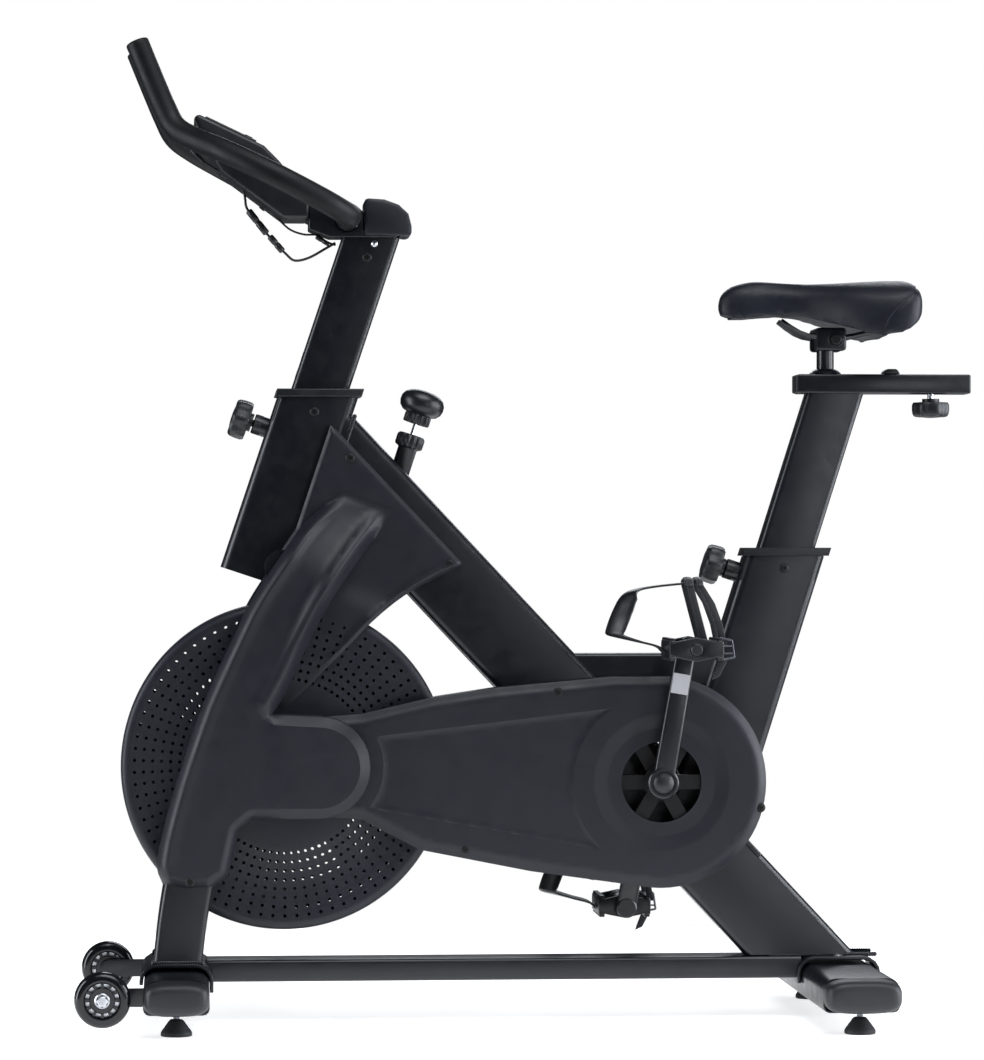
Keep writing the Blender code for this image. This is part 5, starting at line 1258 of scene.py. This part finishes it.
# ---------------------------------------------------------------- knobs and brake
def lobed_knob(name, start, end, radius, lobes, neck):
    """Hand knob: lobed rim with rounded corners, a domed grey face and a round neck behind."""
    length = (Vector(end) - Vector(start)).length
    profile = [(neck, -0.0030, 0), (neck, 0.0010, 0), (0.70, 0.0012, 0.4), (0.93, 0.0016, 1),
               (1.0, 0.0050, 1), (1.0, length * 0.55, 1), (0.97, length - 0.0045, 1),
               (0.90, length - 0.0016, 1), (0.80, length - 0.0006, 0.8), (0.72, length - 0.0012, 0),
               (0.66, length - 0.0014, 0), (0.45, length - 0.0002, 0), (0.20, length + 0.0004, 0)]
    around = lobes * 10
    rows = []
    for share, height, waviness in profile:
        row = []
        for i in range(around):
            angle = 2 * math.pi * i / around
            dent = 0.11 * (0.5 - 0.5 * math.cos(lobes * angle)) * waviness
            reach = radius * share * (1 - dent) if share <= 1 else share
            row.append((reach * math.cos(angle), reach * math.sin(angle), height))
        rows.append(row)
    knob = skinned(name, rows)
    face_radius = radius * 0.705
    for polygon in knob.data.polygons:
        near_axis = math.hypot(polygon.center.x, polygon.center.y) < face_radius
        polygon.material_index = 1 if near_axis and polygon.center.z > length * 0.8 else 0
    knob.data.transform(along(start, end))
    knob.data.materials.append(PLASTIC)
    knob.data.materials.append(CAP)
    return knob


for label, axis, tilt, height in PINS:
    knob = lobed_knob(label + "_knob_body", pin_point(axis, tilt, height, 0.0225),
                      pin_point(axis, tilt, height, 0.0460), 0.0250, 7, 0.46)
    fit(knob, label + "_lock_knob", "black_plastic", label + "_lock_knob", angle=50)
    nut = turned(label + "_boss_nut", [(0.0055, 0.0), (0.0128, 0.0), (0.0142, 0.0012), (0.0142, 0.0098),
                                       (0.0128, 0.0112), (0.0055, 0.0112)],
                 pin_point(axis, tilt, height, 0.0066), pin_point(axis, tilt, height, 0.1), 6, True)
    fit(coat(nut, BLACK_OXIDE_AND_PAINTED_SHADE), "frame", "zinc_steel")

SLIDER_KNOB_X = 0.5125
slider_knob = lobed_knob("slider_knob_body", (SLIDER_KNOB_X, 0, 0.7745), (SLIDER_KNOB_X, 0, 0.7540),
                         0.0240, 7, 0.45)
slider_screw = turned("slider_screw", [(0, 0), (0.0042, 0), (0.0042, 0.0240), (0, 0.0240)],
                      (SLIDER_KNOB_X, 0, 0.7620), (SLIDER_KNOB_X, 0, 1), 20)
fit(joined("slider_lock_body", [slider_knob, coat(slider_screw, ZINC)]), "slider_lock_knob", "black_plastic",
    "slider_lock_knob", angle=50)


def fluted(name, profile, flutes, depth, start, end, steps):
    """A turned shape whose marked heights carry flutes round them."""
    rows = []
    for radius, height, cut in profile:
        row = []
        for i in range(steps):
            angle = 2 * math.pi * i / steps
            reach = max(radius - depth * cut * (0.5 + 0.5 * math.cos(flutes * angle)), 0.0004)
            row.append((reach * math.cos(angle), reach * math.sin(angle), height))
        rows.append(row)
    shape = skinned(name, rows)
    shape.data.transform(along(start, end))
    return shape


brake_profile = [(0.0160, -0.0255, 1), (0.0172, -0.0240, 1), (0.0172, -0.0150, 1), (0.0165, -0.0135, 0.4),
                 (0.0215, -0.0118, 0), (0.0262, -0.0070, 0), (0.0280, -0.0010, 0), (0.0276, 0.0050, 0),
                 (0.0246, 0.0105, 0), (0.0190, 0.0145, 0), (0.0110, 0.0169, 0), (0.0004, 0.0178, 0)]
fit(coat(fluted("brake_knob_body", brake_profile, 12, 0.0026, brake_point(0), brake_point(1), 96), NYLON),
    "brake_knob", "black_plastic", "brake_knob", angle=50)
sleeve_profile = [(0.0036, -0.0400, 0), (0.0150, -0.0400, 0), (0.0166, -0.0412, 1),
                  (0.0178, -0.0435, 1), (0.0178, -0.0540, 1), (0.0165, -0.0560, 1),
                  (0.0132, -0.0572, 0), (0.0120, -0.0585, 0), (0.0120, -0.0980, 0),
                  (0.0132, -0.0990, 0), (0.0150, -0.1030, 0), (0.0036, -0.1060, 0)]
fit(coat(fluted("brake_cap_and_tube", sleeve_profile[::-1], 14, 0.0022, brake_point(0), brake_point(1),
                84), NYLON), "frame", "black_plastic", "brake_sleeve", angle=50)

# ---------------------------------------------------------------- cranks, pedals, cages and straps
def crank_eye(angle):
    return (CRANK_AXIS[0] + CRANK_LENGTH * math.sin(angle), CRANK_AXIS[1] + CRANK_LENGTH * math.cos(angle))


def crank_arm(name, angle):
    """Left-side arm: a bevelled blade between two round ends, with a dome cap over the spindle."""
    eye = crank_eye(angle)
    out = Vector((math.sin(angle), math.cos(angle)))
    side = Vector((out.y, -out.x))
    base, tip = Vector(CRANK_AXIS), Vector(eye)
    blade = [base + side * 0.0135, tip + side * 0.0122, tip - side * 0.0122, base - side * 0.0135]
    arm = rounded(prism("blade", [tuple(p) for p in blade], -0.0870, -0.0720), 0.0042, 4)
    boss = across("boss", CRANK_AXIS, [(0.0088, 0.0700), (0.0175, 0.0700), (0.0190, 0.0715),
                                       (0.0190, 0.0880), (0.0172, 0.0900), (0.0145, 0.0900),
                                       (0.0140, 0.0890), (0.0088, 0.0890)], 48, True)
    end = across("end", eye, [(0, 0.0711), (0.0112, 0.0711), (0.0128, 0.0725), (0.0128, 0.0865),
                              (0.0115, 0.0880), (0, 0.0880)], 40)
    spindle = across("pedal_spindle", eye, [(0, 0.0870), (0.0085, 0.0870), (0.0085, 0.0915),
                                            (0.0060, 0.0920), (0.0060, 0.1870), (0, 0.1870)], 28)
    cap = across("cap", CRANK_AXIS, [(0, 0.0953), (0.0050, 0.0948), (0.0095, 0.0930), (0.0125, 0.0904),
                                     (0.0132, 0.0893), (0.0132, 0.0884), (0, 0.0884)], 40)
    pieces = [coat(piece, ALLOY) for piece in (arm, boss, end)] + [coat(spindle, ZINC), coat(cap, PLASTIC)]
    return joined(name, pieces)


def pedal(name, eye):
    """Cage pedal: a barrel on its bearings, four treads with teeth, and two end plates."""
    x, z = eye
    barrel = across("barrel", eye, [(0.0064, 0.0965), (0.0125, 0.0965), (0.0140, 0.0990),
                                    (0.0140, 0.1120), (0.0118, 0.1150), (0.0112, 0.1400),
                                    (0.0118, 0.1700), (0.0140, 0.1730), (0.0140, 0.1850),
                                    (0.0120, 0.1880), (0.0064, 0.1880)], 36, True)
    pieces = [coat(barrel, NYLON)]
    for front in (-1, 1):
        bar = block("tread", (x + front * 0.0290 - 0.0045, -0.1900, z - 0.0115),
                    (x + front * 0.0290 + 0.0045, -0.0980, z + 0.0115))
        pieces.append(coat(rounded(bar, 0.0030), NYLON))
        for i in range(8):
            y = -0.1860 + i * 0.0115
            tooth = block("tooth", (x + front * 0.0290 - 0.0035, y, z - 0.0138),
                          (x + front * 0.0290 + 0.0035, y + 0.0050, z + 0.0138))
            pieces.append(coat(rounded(tooth, 0.0012, 2), NYLON))
    for y in (-0.1905, -0.1030):
        plate = [(x - 0.0335, z - 0.0070), (x - 0.0220, z - 0.0105), (x, z - 0.0150),
                 (x + 0.0220, z - 0.0105), (x + 0.0335, z - 0.0070), (x + 0.0335, z + 0.0070),
                 (x + 0.0220, z + 0.0105), (x, z + 0.0150), (x - 0.0220, z + 0.0105),
                 (x - 0.0335, z + 0.0070)]
        bore = across("bore", eye, [(0, 0.0), (0.0075, 0.0), (0.0075, 0.3), (0, 0.3)], 24)
        pieces.append(coat(rounded(cut(prism("side", plate, y, y + 0.0055), bore), 0.0015), NYLON))
    cap = across("dust_cap", eye, [(0, 0.1925), (0.0060, 0.1920), (0.0075, 0.1905), (0.0075, 0.1880),
                                   (0, 0.1880)], 28)
    pieces.append(coat(cap, PLASTIC))
    return joined(name, pieces)


def banded(name, path, widths, bows, thickness):
    """A strip of plastic or webbing along (x, z) points, bowed back at its sides."""
    rows = [[(x + bow * (u / 6) ** 2, PEDAL_MIDDLE + width * u / 12, z) for u in range(-6, 7)]
            for (x, z), width, bow in zip(path, widths, bows)]
    return rounded(thickened(skinned(name, rows, closed=False), thickness, 0), thickness * 0.3, 2)


def toe_cage(name, eye):
    """Toe clip in front of the shoe, two webbing legs beside it, and a buckle."""
    x, z = eye
    clip = [(-0.0350, -0.0040), (-0.0430, 0.0030), (-0.0650, 0.0085), (-0.0850, 0.0130), (-0.1000, 0.0165),
            (-0.1055, 0.0190), (-0.1050, 0.0240), (-0.1010, 0.0360), (-0.0960, 0.0480), (-0.0890, 0.0610),
            (-0.0800, 0.0690), (-0.0650, 0.0735), (-0.0400, 0.0770), (-0.0150, 0.0795), (-0.0020, 0.0805)]
    widths = [0.040, 0.042, 0.046, 0.052, 0.058, 0.060, 0.060, 0.058, 0.052, 0.046, 0.038, 0.030, 0.026,
              0.026, 0.028]
    bows = [0.0, 0.0, 0.002, 0.008, 0.014, 0.018, 0.020, 0.021, 0.021, 0.019, 0.010, 0.003, 0.0, 0.0, 0.0]
    smooth = [(p.x, p.z) for p in smooth_route([(x + a, 0, z + b) for a, b in clip], 3)]
    steps = np.linspace(0, len(widths) - 1, len(smooth))
    stations = range(len(widths))
    pieces = [coat(banded("clip", smooth, np.interp(steps, stations, widths),
                          np.interp(steps, stations, bows), 0.0024), NYLON)]
    holder = block("holder", (x - 0.0115, -0.1560, z + 0.0780), (x + 0.0115, -0.1240, z + 0.0855))
    pieces.append(coat(rounded(holder, 0.0022), NYLON))
    legs = ([(-0.0060, 0.0790), (0.0020, 0.0480), (0.0125, 0.0080)],
            [(0.0060, 0.0790), (0.0205, 0.0560), (0.0300, 0.0300), (0.0350, 0.0060)])
    for y in (-0.1700, -0.1120):
        for leg in legs:
            run = [(x + a - 0.0042, z + b) for a, b in leg] + [(x + a + 0.0042, z + b) for a, b in leg[::-1]]
            pieces.append(coat(rounded(prism("leg", run, y, y + 0.0026), 0.0010, 2), STRAP))
    for dx in (-0.0060, 0.0060):
        over = rod("over", smooth_route([(x + dx, -0.1690, 0.0), (x + dx, -0.1640, 0.0133),
                                         (x + dx, -0.1400, 0.0189), (x + dx, -0.1160, 0.0133),
                                         (x + dx, -0.1105, 0.0)], 4), 0.0046, 2)
        over.data.transform(Matrix.Translation((0, 0, z + 0.0780)) @ Matrix.Diagonal((1, 1, 0.45, 1)))
        pieces.append(coat(over, STRAP))
    frame_run = [(0.030, 0.014), (0.045, 0.011), (0.048, -0.010), (0.030, -0.013)]
    for (ax, az), (bx, bz) in zip(frame_run, frame_run[1:] + frame_run[:1]):
        pieces.append(coat(rod("buckle", [(x + ax, -0.1725, z + az), (x + bx, -0.1725, z + bz)], 0.0014,
                               3), BUCKLE))
    for dz in (-0.0050, 0.0040):
        pieces.append(coat(rod("bar", [(x + 0.031, -0.1725, z + dz), (x + 0.046, -0.1725, z + dz)],
                               0.0011, 3), BUCKLE))
    tail = [(x + 0.0400, z - 0.0140), (x + 0.0300, z - 0.0330), (x + 0.0205, z - 0.0370),
            (x + 0.0300, z - 0.0120)]
    pieces.append(coat(rounded(prism("tail", tail, -0.1712, -0.1690), 0.0008, 2), STRAP))
    return joined(name, pieces)


for label, angle in (("left", CRANK_ANGLE), ("right", CRANK_ANGLE + math.pi)):
    eye = crank_eye(angle)
    pieces = ((crank_arm("crank_arm_" + label, angle), "crank", "black_alloy", "crank_" + label),
              (pedal("pedal_body_" + label, eye), "pedal_" + label, "black_plastic", "pedal_" + label),
              (toe_cage("toe_clip_" + label, eye), "pedal_" + label, "black_plastic", "toe_cage_" + label))
    for piece, body, slot, node in pieces:
        if label == "right":
            other = mirrored(piece, piece.name + "_far")
            bpy.data.objects.remove(piece, do_unlink=True)
            piece = other
        fit(piece, body, slot, node, angle=40)

sticker_middle = Vector(CRANK_AXIS).lerp(Vector(crank_eye(CRANK_ANGLE)), 0.733)
sticker_run = [sticker_middle + Matrix.Rotation(-CRANK_ANGLE, 2) @ Vector((a, b))
               for a, b in ((-0.0105, -0.0125), (0.0105, -0.0125), (0.0105, 0.0125), (-0.0105, 0.0125))]
sticker = rounded(prism("crank_label", [tuple(p) for p in sticker_run], -0.0874, -0.0868), 0.0001, 1)
fit(coat(sticker, LABEL), "crank", "black_alloy")

# ---------------------------------------------------------------- handlebar, console and leads
BAR_ROUTE = [(-0.2260, -0.0550, 0.9985), (-0.2255, -0.0850, 0.9985), (-0.2330, -0.1100, 1.0005),
             (-0.2620, -0.1320, 1.0150), (-0.3200, -0.1420, 1.0440), (-0.3800, -0.1180, 1.0740),
             (-0.4170, -0.0850, 1.0920), (-0.4400, -0.0680, 1.1080), (-0.4530, -0.0600, 1.1320),
             (-0.4700, -0.0560, 1.1720), (-0.4880, -0.0540, 1.2160)]


def foam_arm(name):
    """Left foam sleeve, from beside the clamp to its softly domed end."""
    route = smooth_route([(-0.2260, -0.0300, 0.9985)] + BAR_ROUTE, 6)
    last = (route[-1] - route[-2]).normalized()
    domed = [(0.0016, 0.97), (0.0028, 0.88), (0.0036, 0.70), (0.0040, 0.40)]
    points = [route[0]] + route[:-1] + [route[-1] - last * 0.0042] + [route[-1] + last * (d - 0.0042)
                                                                      for d, _ in domed]
    scales = [0.90] + [1.0] * (len(route)) + [s for _, s in domed]
    return coat(rod(name, points, BAR_RADIUS, 7, scales), FOAM)


near_arm = foam_arm("foam_sleeve")
far_arm = mirrored(near_arm, "foam_sleeve_far")
cross_bar = coat(rod("cross_bar", [(-0.2260, -0.032, 0.9985), (-0.2260, 0.032, 0.9985)], 0.0125, 7), PAINT)
fit(joined("handlebar_foam", [near_arm, far_arm, cross_bar]), "handlebar_post", "grip_foam",
    "handlebar", angle=50)

CONSOLE_RUN = [(-0.4180, 1.1200), (-0.4120, 1.1270), (-0.3300, 1.0880), (-0.3120, 1.0700),
               (-0.2745, 1.0250), (-0.2745, 0.9980), (-0.3060, 0.9980), (-0.3490, 1.0300),
               (-0.3830, 1.0550), (-0.4080, 1.0950)]


def console():
    """Console housing with a raised bezel, a display window and three keys on its sloping face."""
    body = coat(rounded(prism("body", CONSOLE_RUN, -0.0480, 0.0480), 0.0050, 4, 25), PLASTIC)
    top, low = Vector((-0.4120, 1.1270)), Vector((-0.3300, 1.0880))
    slope = (low - top).normalized()
    out = Vector((-slope.y, slope.x))

    def plate(name, first, last, half, base, rise, width, material):
        run = [top + slope * first + out * base, top + slope * last + out * base,
               top + slope * last + out * rise, top + slope * first + out * rise]
        return coat(rounded(prism(name, [tuple(p) for p in run], -half, half), width, 3), material)

    pieces = [body, plate("bezel", 0.010, 0.080, 0.0420, -0.002, 0.0022, 0.0018, PLASTIC),
              plate("window", 0.014, 0.058, 0.0370, 0.0, 0.0026, 0.0006, SCREEN)]
    for y in (-0.024, 0.0, 0.024):
        key = plate("key", 0.063, 0.074, 0.0085, 0.0, 0.0040, 0.0014, RUBBER)
        key.data.transform(Matrix.Translation((0, y, 0)))
        pieces.append(key)
    for (x, z), radius in (((-0.3790, 1.0540), 0.0050), ((-0.3310, 1.0140), 0.0045)):
        plug = turned("plug", [(0, -0.006), (radius, -0.006), (radius, 0.0015), (radius * 0.8, 0.0028),
                               (0, 0.0028)], (x, -0.006, z), (x - 0.62, -0.006, z - 0.78), 20)
        pieces.append(coat(plug, RUBBER))
    return joined("console_housing", pieces)


fit(console(), "handlebar_post", "black_plastic", "console")

LEADS = [([(-0.4430, 0.0, 1.1150), (-0.4330, -0.002, 1.0960), (-0.4120, -0.004, 1.0760),
           (-0.3880, -0.006, 1.0605), (-0.3740, -0.008, 1.0500), (-0.3560, -0.010, 1.0350),
           (-0.3530, -0.011, 1.0240), (-0.3510, -0.012, 1.0130), (-0.3400, -0.012, 0.9960),
           (-0.3260, -0.012, 0.9810), (-0.3140, -0.011, 0.9680), (-0.3020, -0.010, 0.9560),
           (-0.2910, -0.008, 0.9480), (-0.2730, -0.004, 0.9520), (-0.2520, 0.0, 0.9640),
           (-0.2400, 0.0, 0.9710)], 0.0016), ([(-0.3310, -0.004, 1.0140), (-0.3190, 0.002, 1.0080),
                                               (-0.2985, 0.006, 0.9890), (-0.2800, 0.008, 0.9820),
                                               (-0.2630, 0.006, 0.9810), (-0.2520, 0.003, 0.9730),
                                               (-0.2400, 0.0, 0.9680)], 0.0013)]
SLEEVES = [((-0.4360, -0.001, 1.1020), (-0.4060, -0.005, 1.0720), 0.0026),
           ((-0.3490, -0.012, 1.0100), (-0.3260, -0.012, 0.9810), 0.0044),
           ((-0.3225, -0.012, 0.9780), (-0.3060, -0.010, 0.9590), 0.0042),
           ((-0.2640, 0.006, 0.9790), (-0.2480, 0.002, 0.9690), 0.0030)]


def leads():
    """Thin jacketed leads under the console, with their in-line connectors."""
    pieces = [coat(rod("lead", smooth_route(points, 5), radius, 3), JACKET) for points, radius in LEADS]
    for start, end, radius in SLEEVES:
        length = math.dist(start, end)
        profile = [(0, 0), (radius * 0.7, 0), (radius, 0.0012), (radius, length * 0.42),
                   (radius * 0.86, length * 0.44), (radius * 0.86, length * 0.54),
                   (radius, length * 0.56), (radius, length - 0.0012), (radius * 0.7, length),
                   (0, length)]
        pieces.append(coat(turned("connector", profile, start, end, 20), JACKET))
    return joined("lead_bundle", pieces)


fit(leads(), "handlebar_post", "lead_jacket", "sensor_lead", angle=50)

# ---------------------------------------------------------------- seat rail details
STOP_OUTLINE = [(0.4500, 0.8083), (0.4720, 0.8083), (0.4700, 0.8125), (0.4670, 0.8150), (0.4560, 0.8150),
                (0.4520, 0.8125)]
stop = rounded(prism("stop", STOP_OUTLINE, -0.0100, 0.0100), 0.0012, 3)
fit(coat(stop, PLASTIC), "seat_slider", "black_plastic")
end_plug = rounded(block("rail_plug", (0.3385, -0.0192, 0.7845), (0.3480, 0.0192, 0.8070)), 0.0018, 3)
fit(coat(end_plug, CAP), "seat_post", "black_plastic")
slider_cap = rounded(block("slider_end_cap", (0.5403, -0.0175, 0.7860), (0.5606, 0.0175, 0.8055)), 0.0008, 2)
fit(coat(slider_cap, PLASTIC), "seat_slider", "black_plastic")
stem_collar = turned("stem_collar", [(0.0112, 0.0), (0.0190, 0.0), (0.0200, 0.0010), (0.0170, 0.0040),
                                     (0.0135, 0.0060), (0.0112, 0.0065)], (SADDLE_PIVOT[0], 0, 0.8083),
                     (SADDLE_PIVOT[0], 0, 1), 32, True)
fit(coat(stem_collar, PAINT), "seat_slider", "frame_paint")
clamp_bolts = [((0.3870, side * 0.0290, 0.8510), (0, side, 0)) for side in (-1, 1)]
fit(set_out("clamp_bolts", HEX_BOLT, clamp_bolts, BLACK_OXIDE_AND_PAINTED_SHADE, 0.0100), "saddle", "zinc_steel")

# ---------------------------------------------------------------- saddle
SADDLE_STATIONS = [(0.2390, 0.0060, 0.8990, 0.8840, 0.8860), (0.2440, 0.0140, 0.9100, 0.8790, 0.8820),
                   (0.2560, 0.0205, 0.9180, 0.8765, 0.8805), (0.2750, 0.0255, 0.9215, 0.8770, 0.8810),
                   (0.3100, 0.0310, 0.9212, 0.8815, 0.8845), (0.3450, 0.0420, 0.9195, 0.8780, 0.8870),
                   (0.3750, 0.0590, 0.9195, 0.8680, 0.8870), (0.4050, 0.0770, 0.9210, 0.8575, 0.8850),
                   (0.4350, 0.0895, 0.9225, 0.8490, 0.8830), (0.4600, 0.0955, 0.9230, 0.8530, 0.8825),
                   (0.4780, 0.0940, 0.9225, 0.8610, 0.8835), (0.4870, 0.0860, 0.9150, 0.8690, 0.8850),
                   (0.4935, 0.0680, 0.9010, 0.8790, 0.8870)]


def saddle_form():
    """Closed loft of the padded top: crowned, with a shallow channel along its middle."""
    dense = smooth_route([Vector((x, w, top)) for x, w, top, _, _ in SADDLE_STATIONS], 4)
    lower = smooth_route([Vector((x, edge, belly)) for x, _, _, edge, belly in SADDLE_STATIONS], 4)
    rows = []
    for (x, width, top), (_, edge, belly) in zip(dense, lower):
        waist = edge + 0.42 * (top - edge)
        points = []
        for i in range(19):
            angle = math.pi * (i / 18 - 0.5)
            y = width * math.sin(angle)
            channel = 0.0035 * math.exp(-(y / 0.010) ** 2) * min(1, max(0, (x - 0.30) / 0.05))
            points.append((y, waist + (top - waist) * max(math.cos(angle), 0) ** 0.62 - channel))
        points.append((width * 0.985, (waist + edge) / 2))
        points.append((width * 0.95, edge))
        for i in range(7):
            share = 1 - 2 * (i + 1) / 8
            points.append((width * 0.90 * share, edge + (belly - edge) * (1 - share ** 2)))
        points.append((-width * 0.95, edge))
        points.append((-width * 0.985, (waist + edge) / 2))
        rows.append([(x, y, z) for y, z in points])
    return skinned("saddle_pad", rows)


def swell(obj, pressure, most):
    """Fill a closed skin from inside as a sewn pad, and limit how far any point may move."""
    before = [v.co.copy() for v in obj.data.vertices]
    cloth = obj.modifiers.new("fill", "CLOTH")
    cloth.settings.use_pressure = True
    cloth.settings.uniform_pressure_force = pressure
    cloth.settings.tension_stiffness = 25
    cloth.settings.compression_stiffness = 25
    cloth.settings.shear_stiffness = 10
    cloth.settings.effector_weights.gravity = 0
    for step in range(1, 21):
        bpy.context.scene.frame_set(step)
    swollen = obj.evaluated_get(bpy.context.evaluated_depsgraph_get()).data
    moved = [v.co.copy() for v in swollen.vertices]
    obj.modifiers.remove(cloth)
    bpy.context.scene.frame_set(1)
    for vert, start, end in zip(obj.data.vertices, before, moved):
        step = end - start
        if step.length > most:
            step *= most / step.length
        vert.co = start + step


def saddle():
    pad = saddle_form()
    even = pad.modifiers.new("even", "REMESH")
    even.mode = "VOXEL"
    even.voxel_size = 0.0045
    pad = settled(pad)
    swell(pad, 4.0, 0.0030)
    smooth = pad.modifiers.new("ease", "SMOOTH")
    smooth.factor = 0.5
    smooth.iterations = 4
    finer = pad.modifiers.new("finer", "SUBSURF")
    finer.levels = 1
    finer.render_levels = 1
    return settled(pad)


REAR_SEAM = [(0.4860, 0.9170), (0.4780, 0.9080), (0.4680, 0.8980), (0.4560, 0.8860), (0.4470, 0.8740),
             (0.4420, 0.8640)]


def seam_distance(point):
    """How far a point on the saddle lies from the seam that sets off its rear panel."""
    best = 1.0
    for start, end in zip(REAR_SEAM, REAR_SEAM[1:]):
        a, b = Vector(start), Vector(end)
        share = min(1, max(0, (Vector((point.x, point.z)) - a).dot(b - a) / (b - a).length_squared))
        best = min(best, (Vector((point.x, point.z)) - a - (b - a) * share).length)
    return best


pad = coat(saddle(), LEATHERETTE)
for vert in pad.data.vertices:
    gap = seam_distance(vert.co)
    if gap < 0.006 and abs(vert.co.y) > 0.03:
        vert.co -= vert.normal * 0.0013 * math.exp(-(gap / 0.0018) ** 2)
fit(pad, "saddle", "leatherette", "saddle", angle=180)


def saddle_base():
    """Moulded shell under the pad: a rim that follows its lower edge, and the nose piece."""
    rows = []
    for x, width, _, edge, belly in SADDLE_STATIONS[2:-3]:
        row = []
        for i in range(13):
            share = 1 - 2 * i / 12
            drop = 0.0005 + 0.0035 * (1 - share ** 2)
            row.append((x, width * 0.80 * share, edge + (belly - edge) * (1 - (0.89 * share) ** 2) - drop))
        rows.append(row)
    return coat(rounded(thickened(skinned("saddle_shell", rows, closed=False), 0.0040, 1), 0.0010, 2),
                PLASTIC)


fit(saddle_base(), "saddle", "black_plastic")


def stitches(pad):
    """Short raised stitches on both sides of the pad, beside the rear seam."""
    surface = pad.evaluated_get(bpy.context.evaluated_depsgraph_get())
    route = smooth_route([Vector((x, 0, z)) for x, z in REAR_SEAM], 8)
    places = []
    for side in (-1, 1):
        for point, after in zip(route, route[1:]):
            start = Vector((point.x - 0.0030, side * 0.2, point.z))
            hit, spot, normal, _ = surface.ray_cast(start, Vector((0, -side, 0)))
            if hit:
                places.append((spot + normal * 0.0002, after - point))
    thread = lathe_shape("thread", [(0, -1.0), (0.22, -0.85), (0.30, 0), (0.22, 0.85), (0, 1.0)], 6)
    sewn = set_out("saddle_stitches", thread, places, THREAD, 0.0010)
    bpy.data.objects.remove(thread, do_unlink=True)
    return sewn


fit(stitches(pad), "saddle", "leatherette", angle=60)

for shape in (SCREW, HEX_BOLT, DOME_BOLT):
    bpy.data.objects.remove(shape, do_unlink=True)

# ---------------------------------------------------------------- floor
floor_work = bmesh.new()
bmesh.ops.create_circle(floor_work, cap_ends=True, radius=FLOOR_RADIUS, segments=96)
floor_mesh = bpy.data.meshes.new("studio_floor")
floor_work.to_mesh(floor_mesh)
floor_work.free()
floor = coat(new_object("studio_floor", floor_mesh), FLOOR)
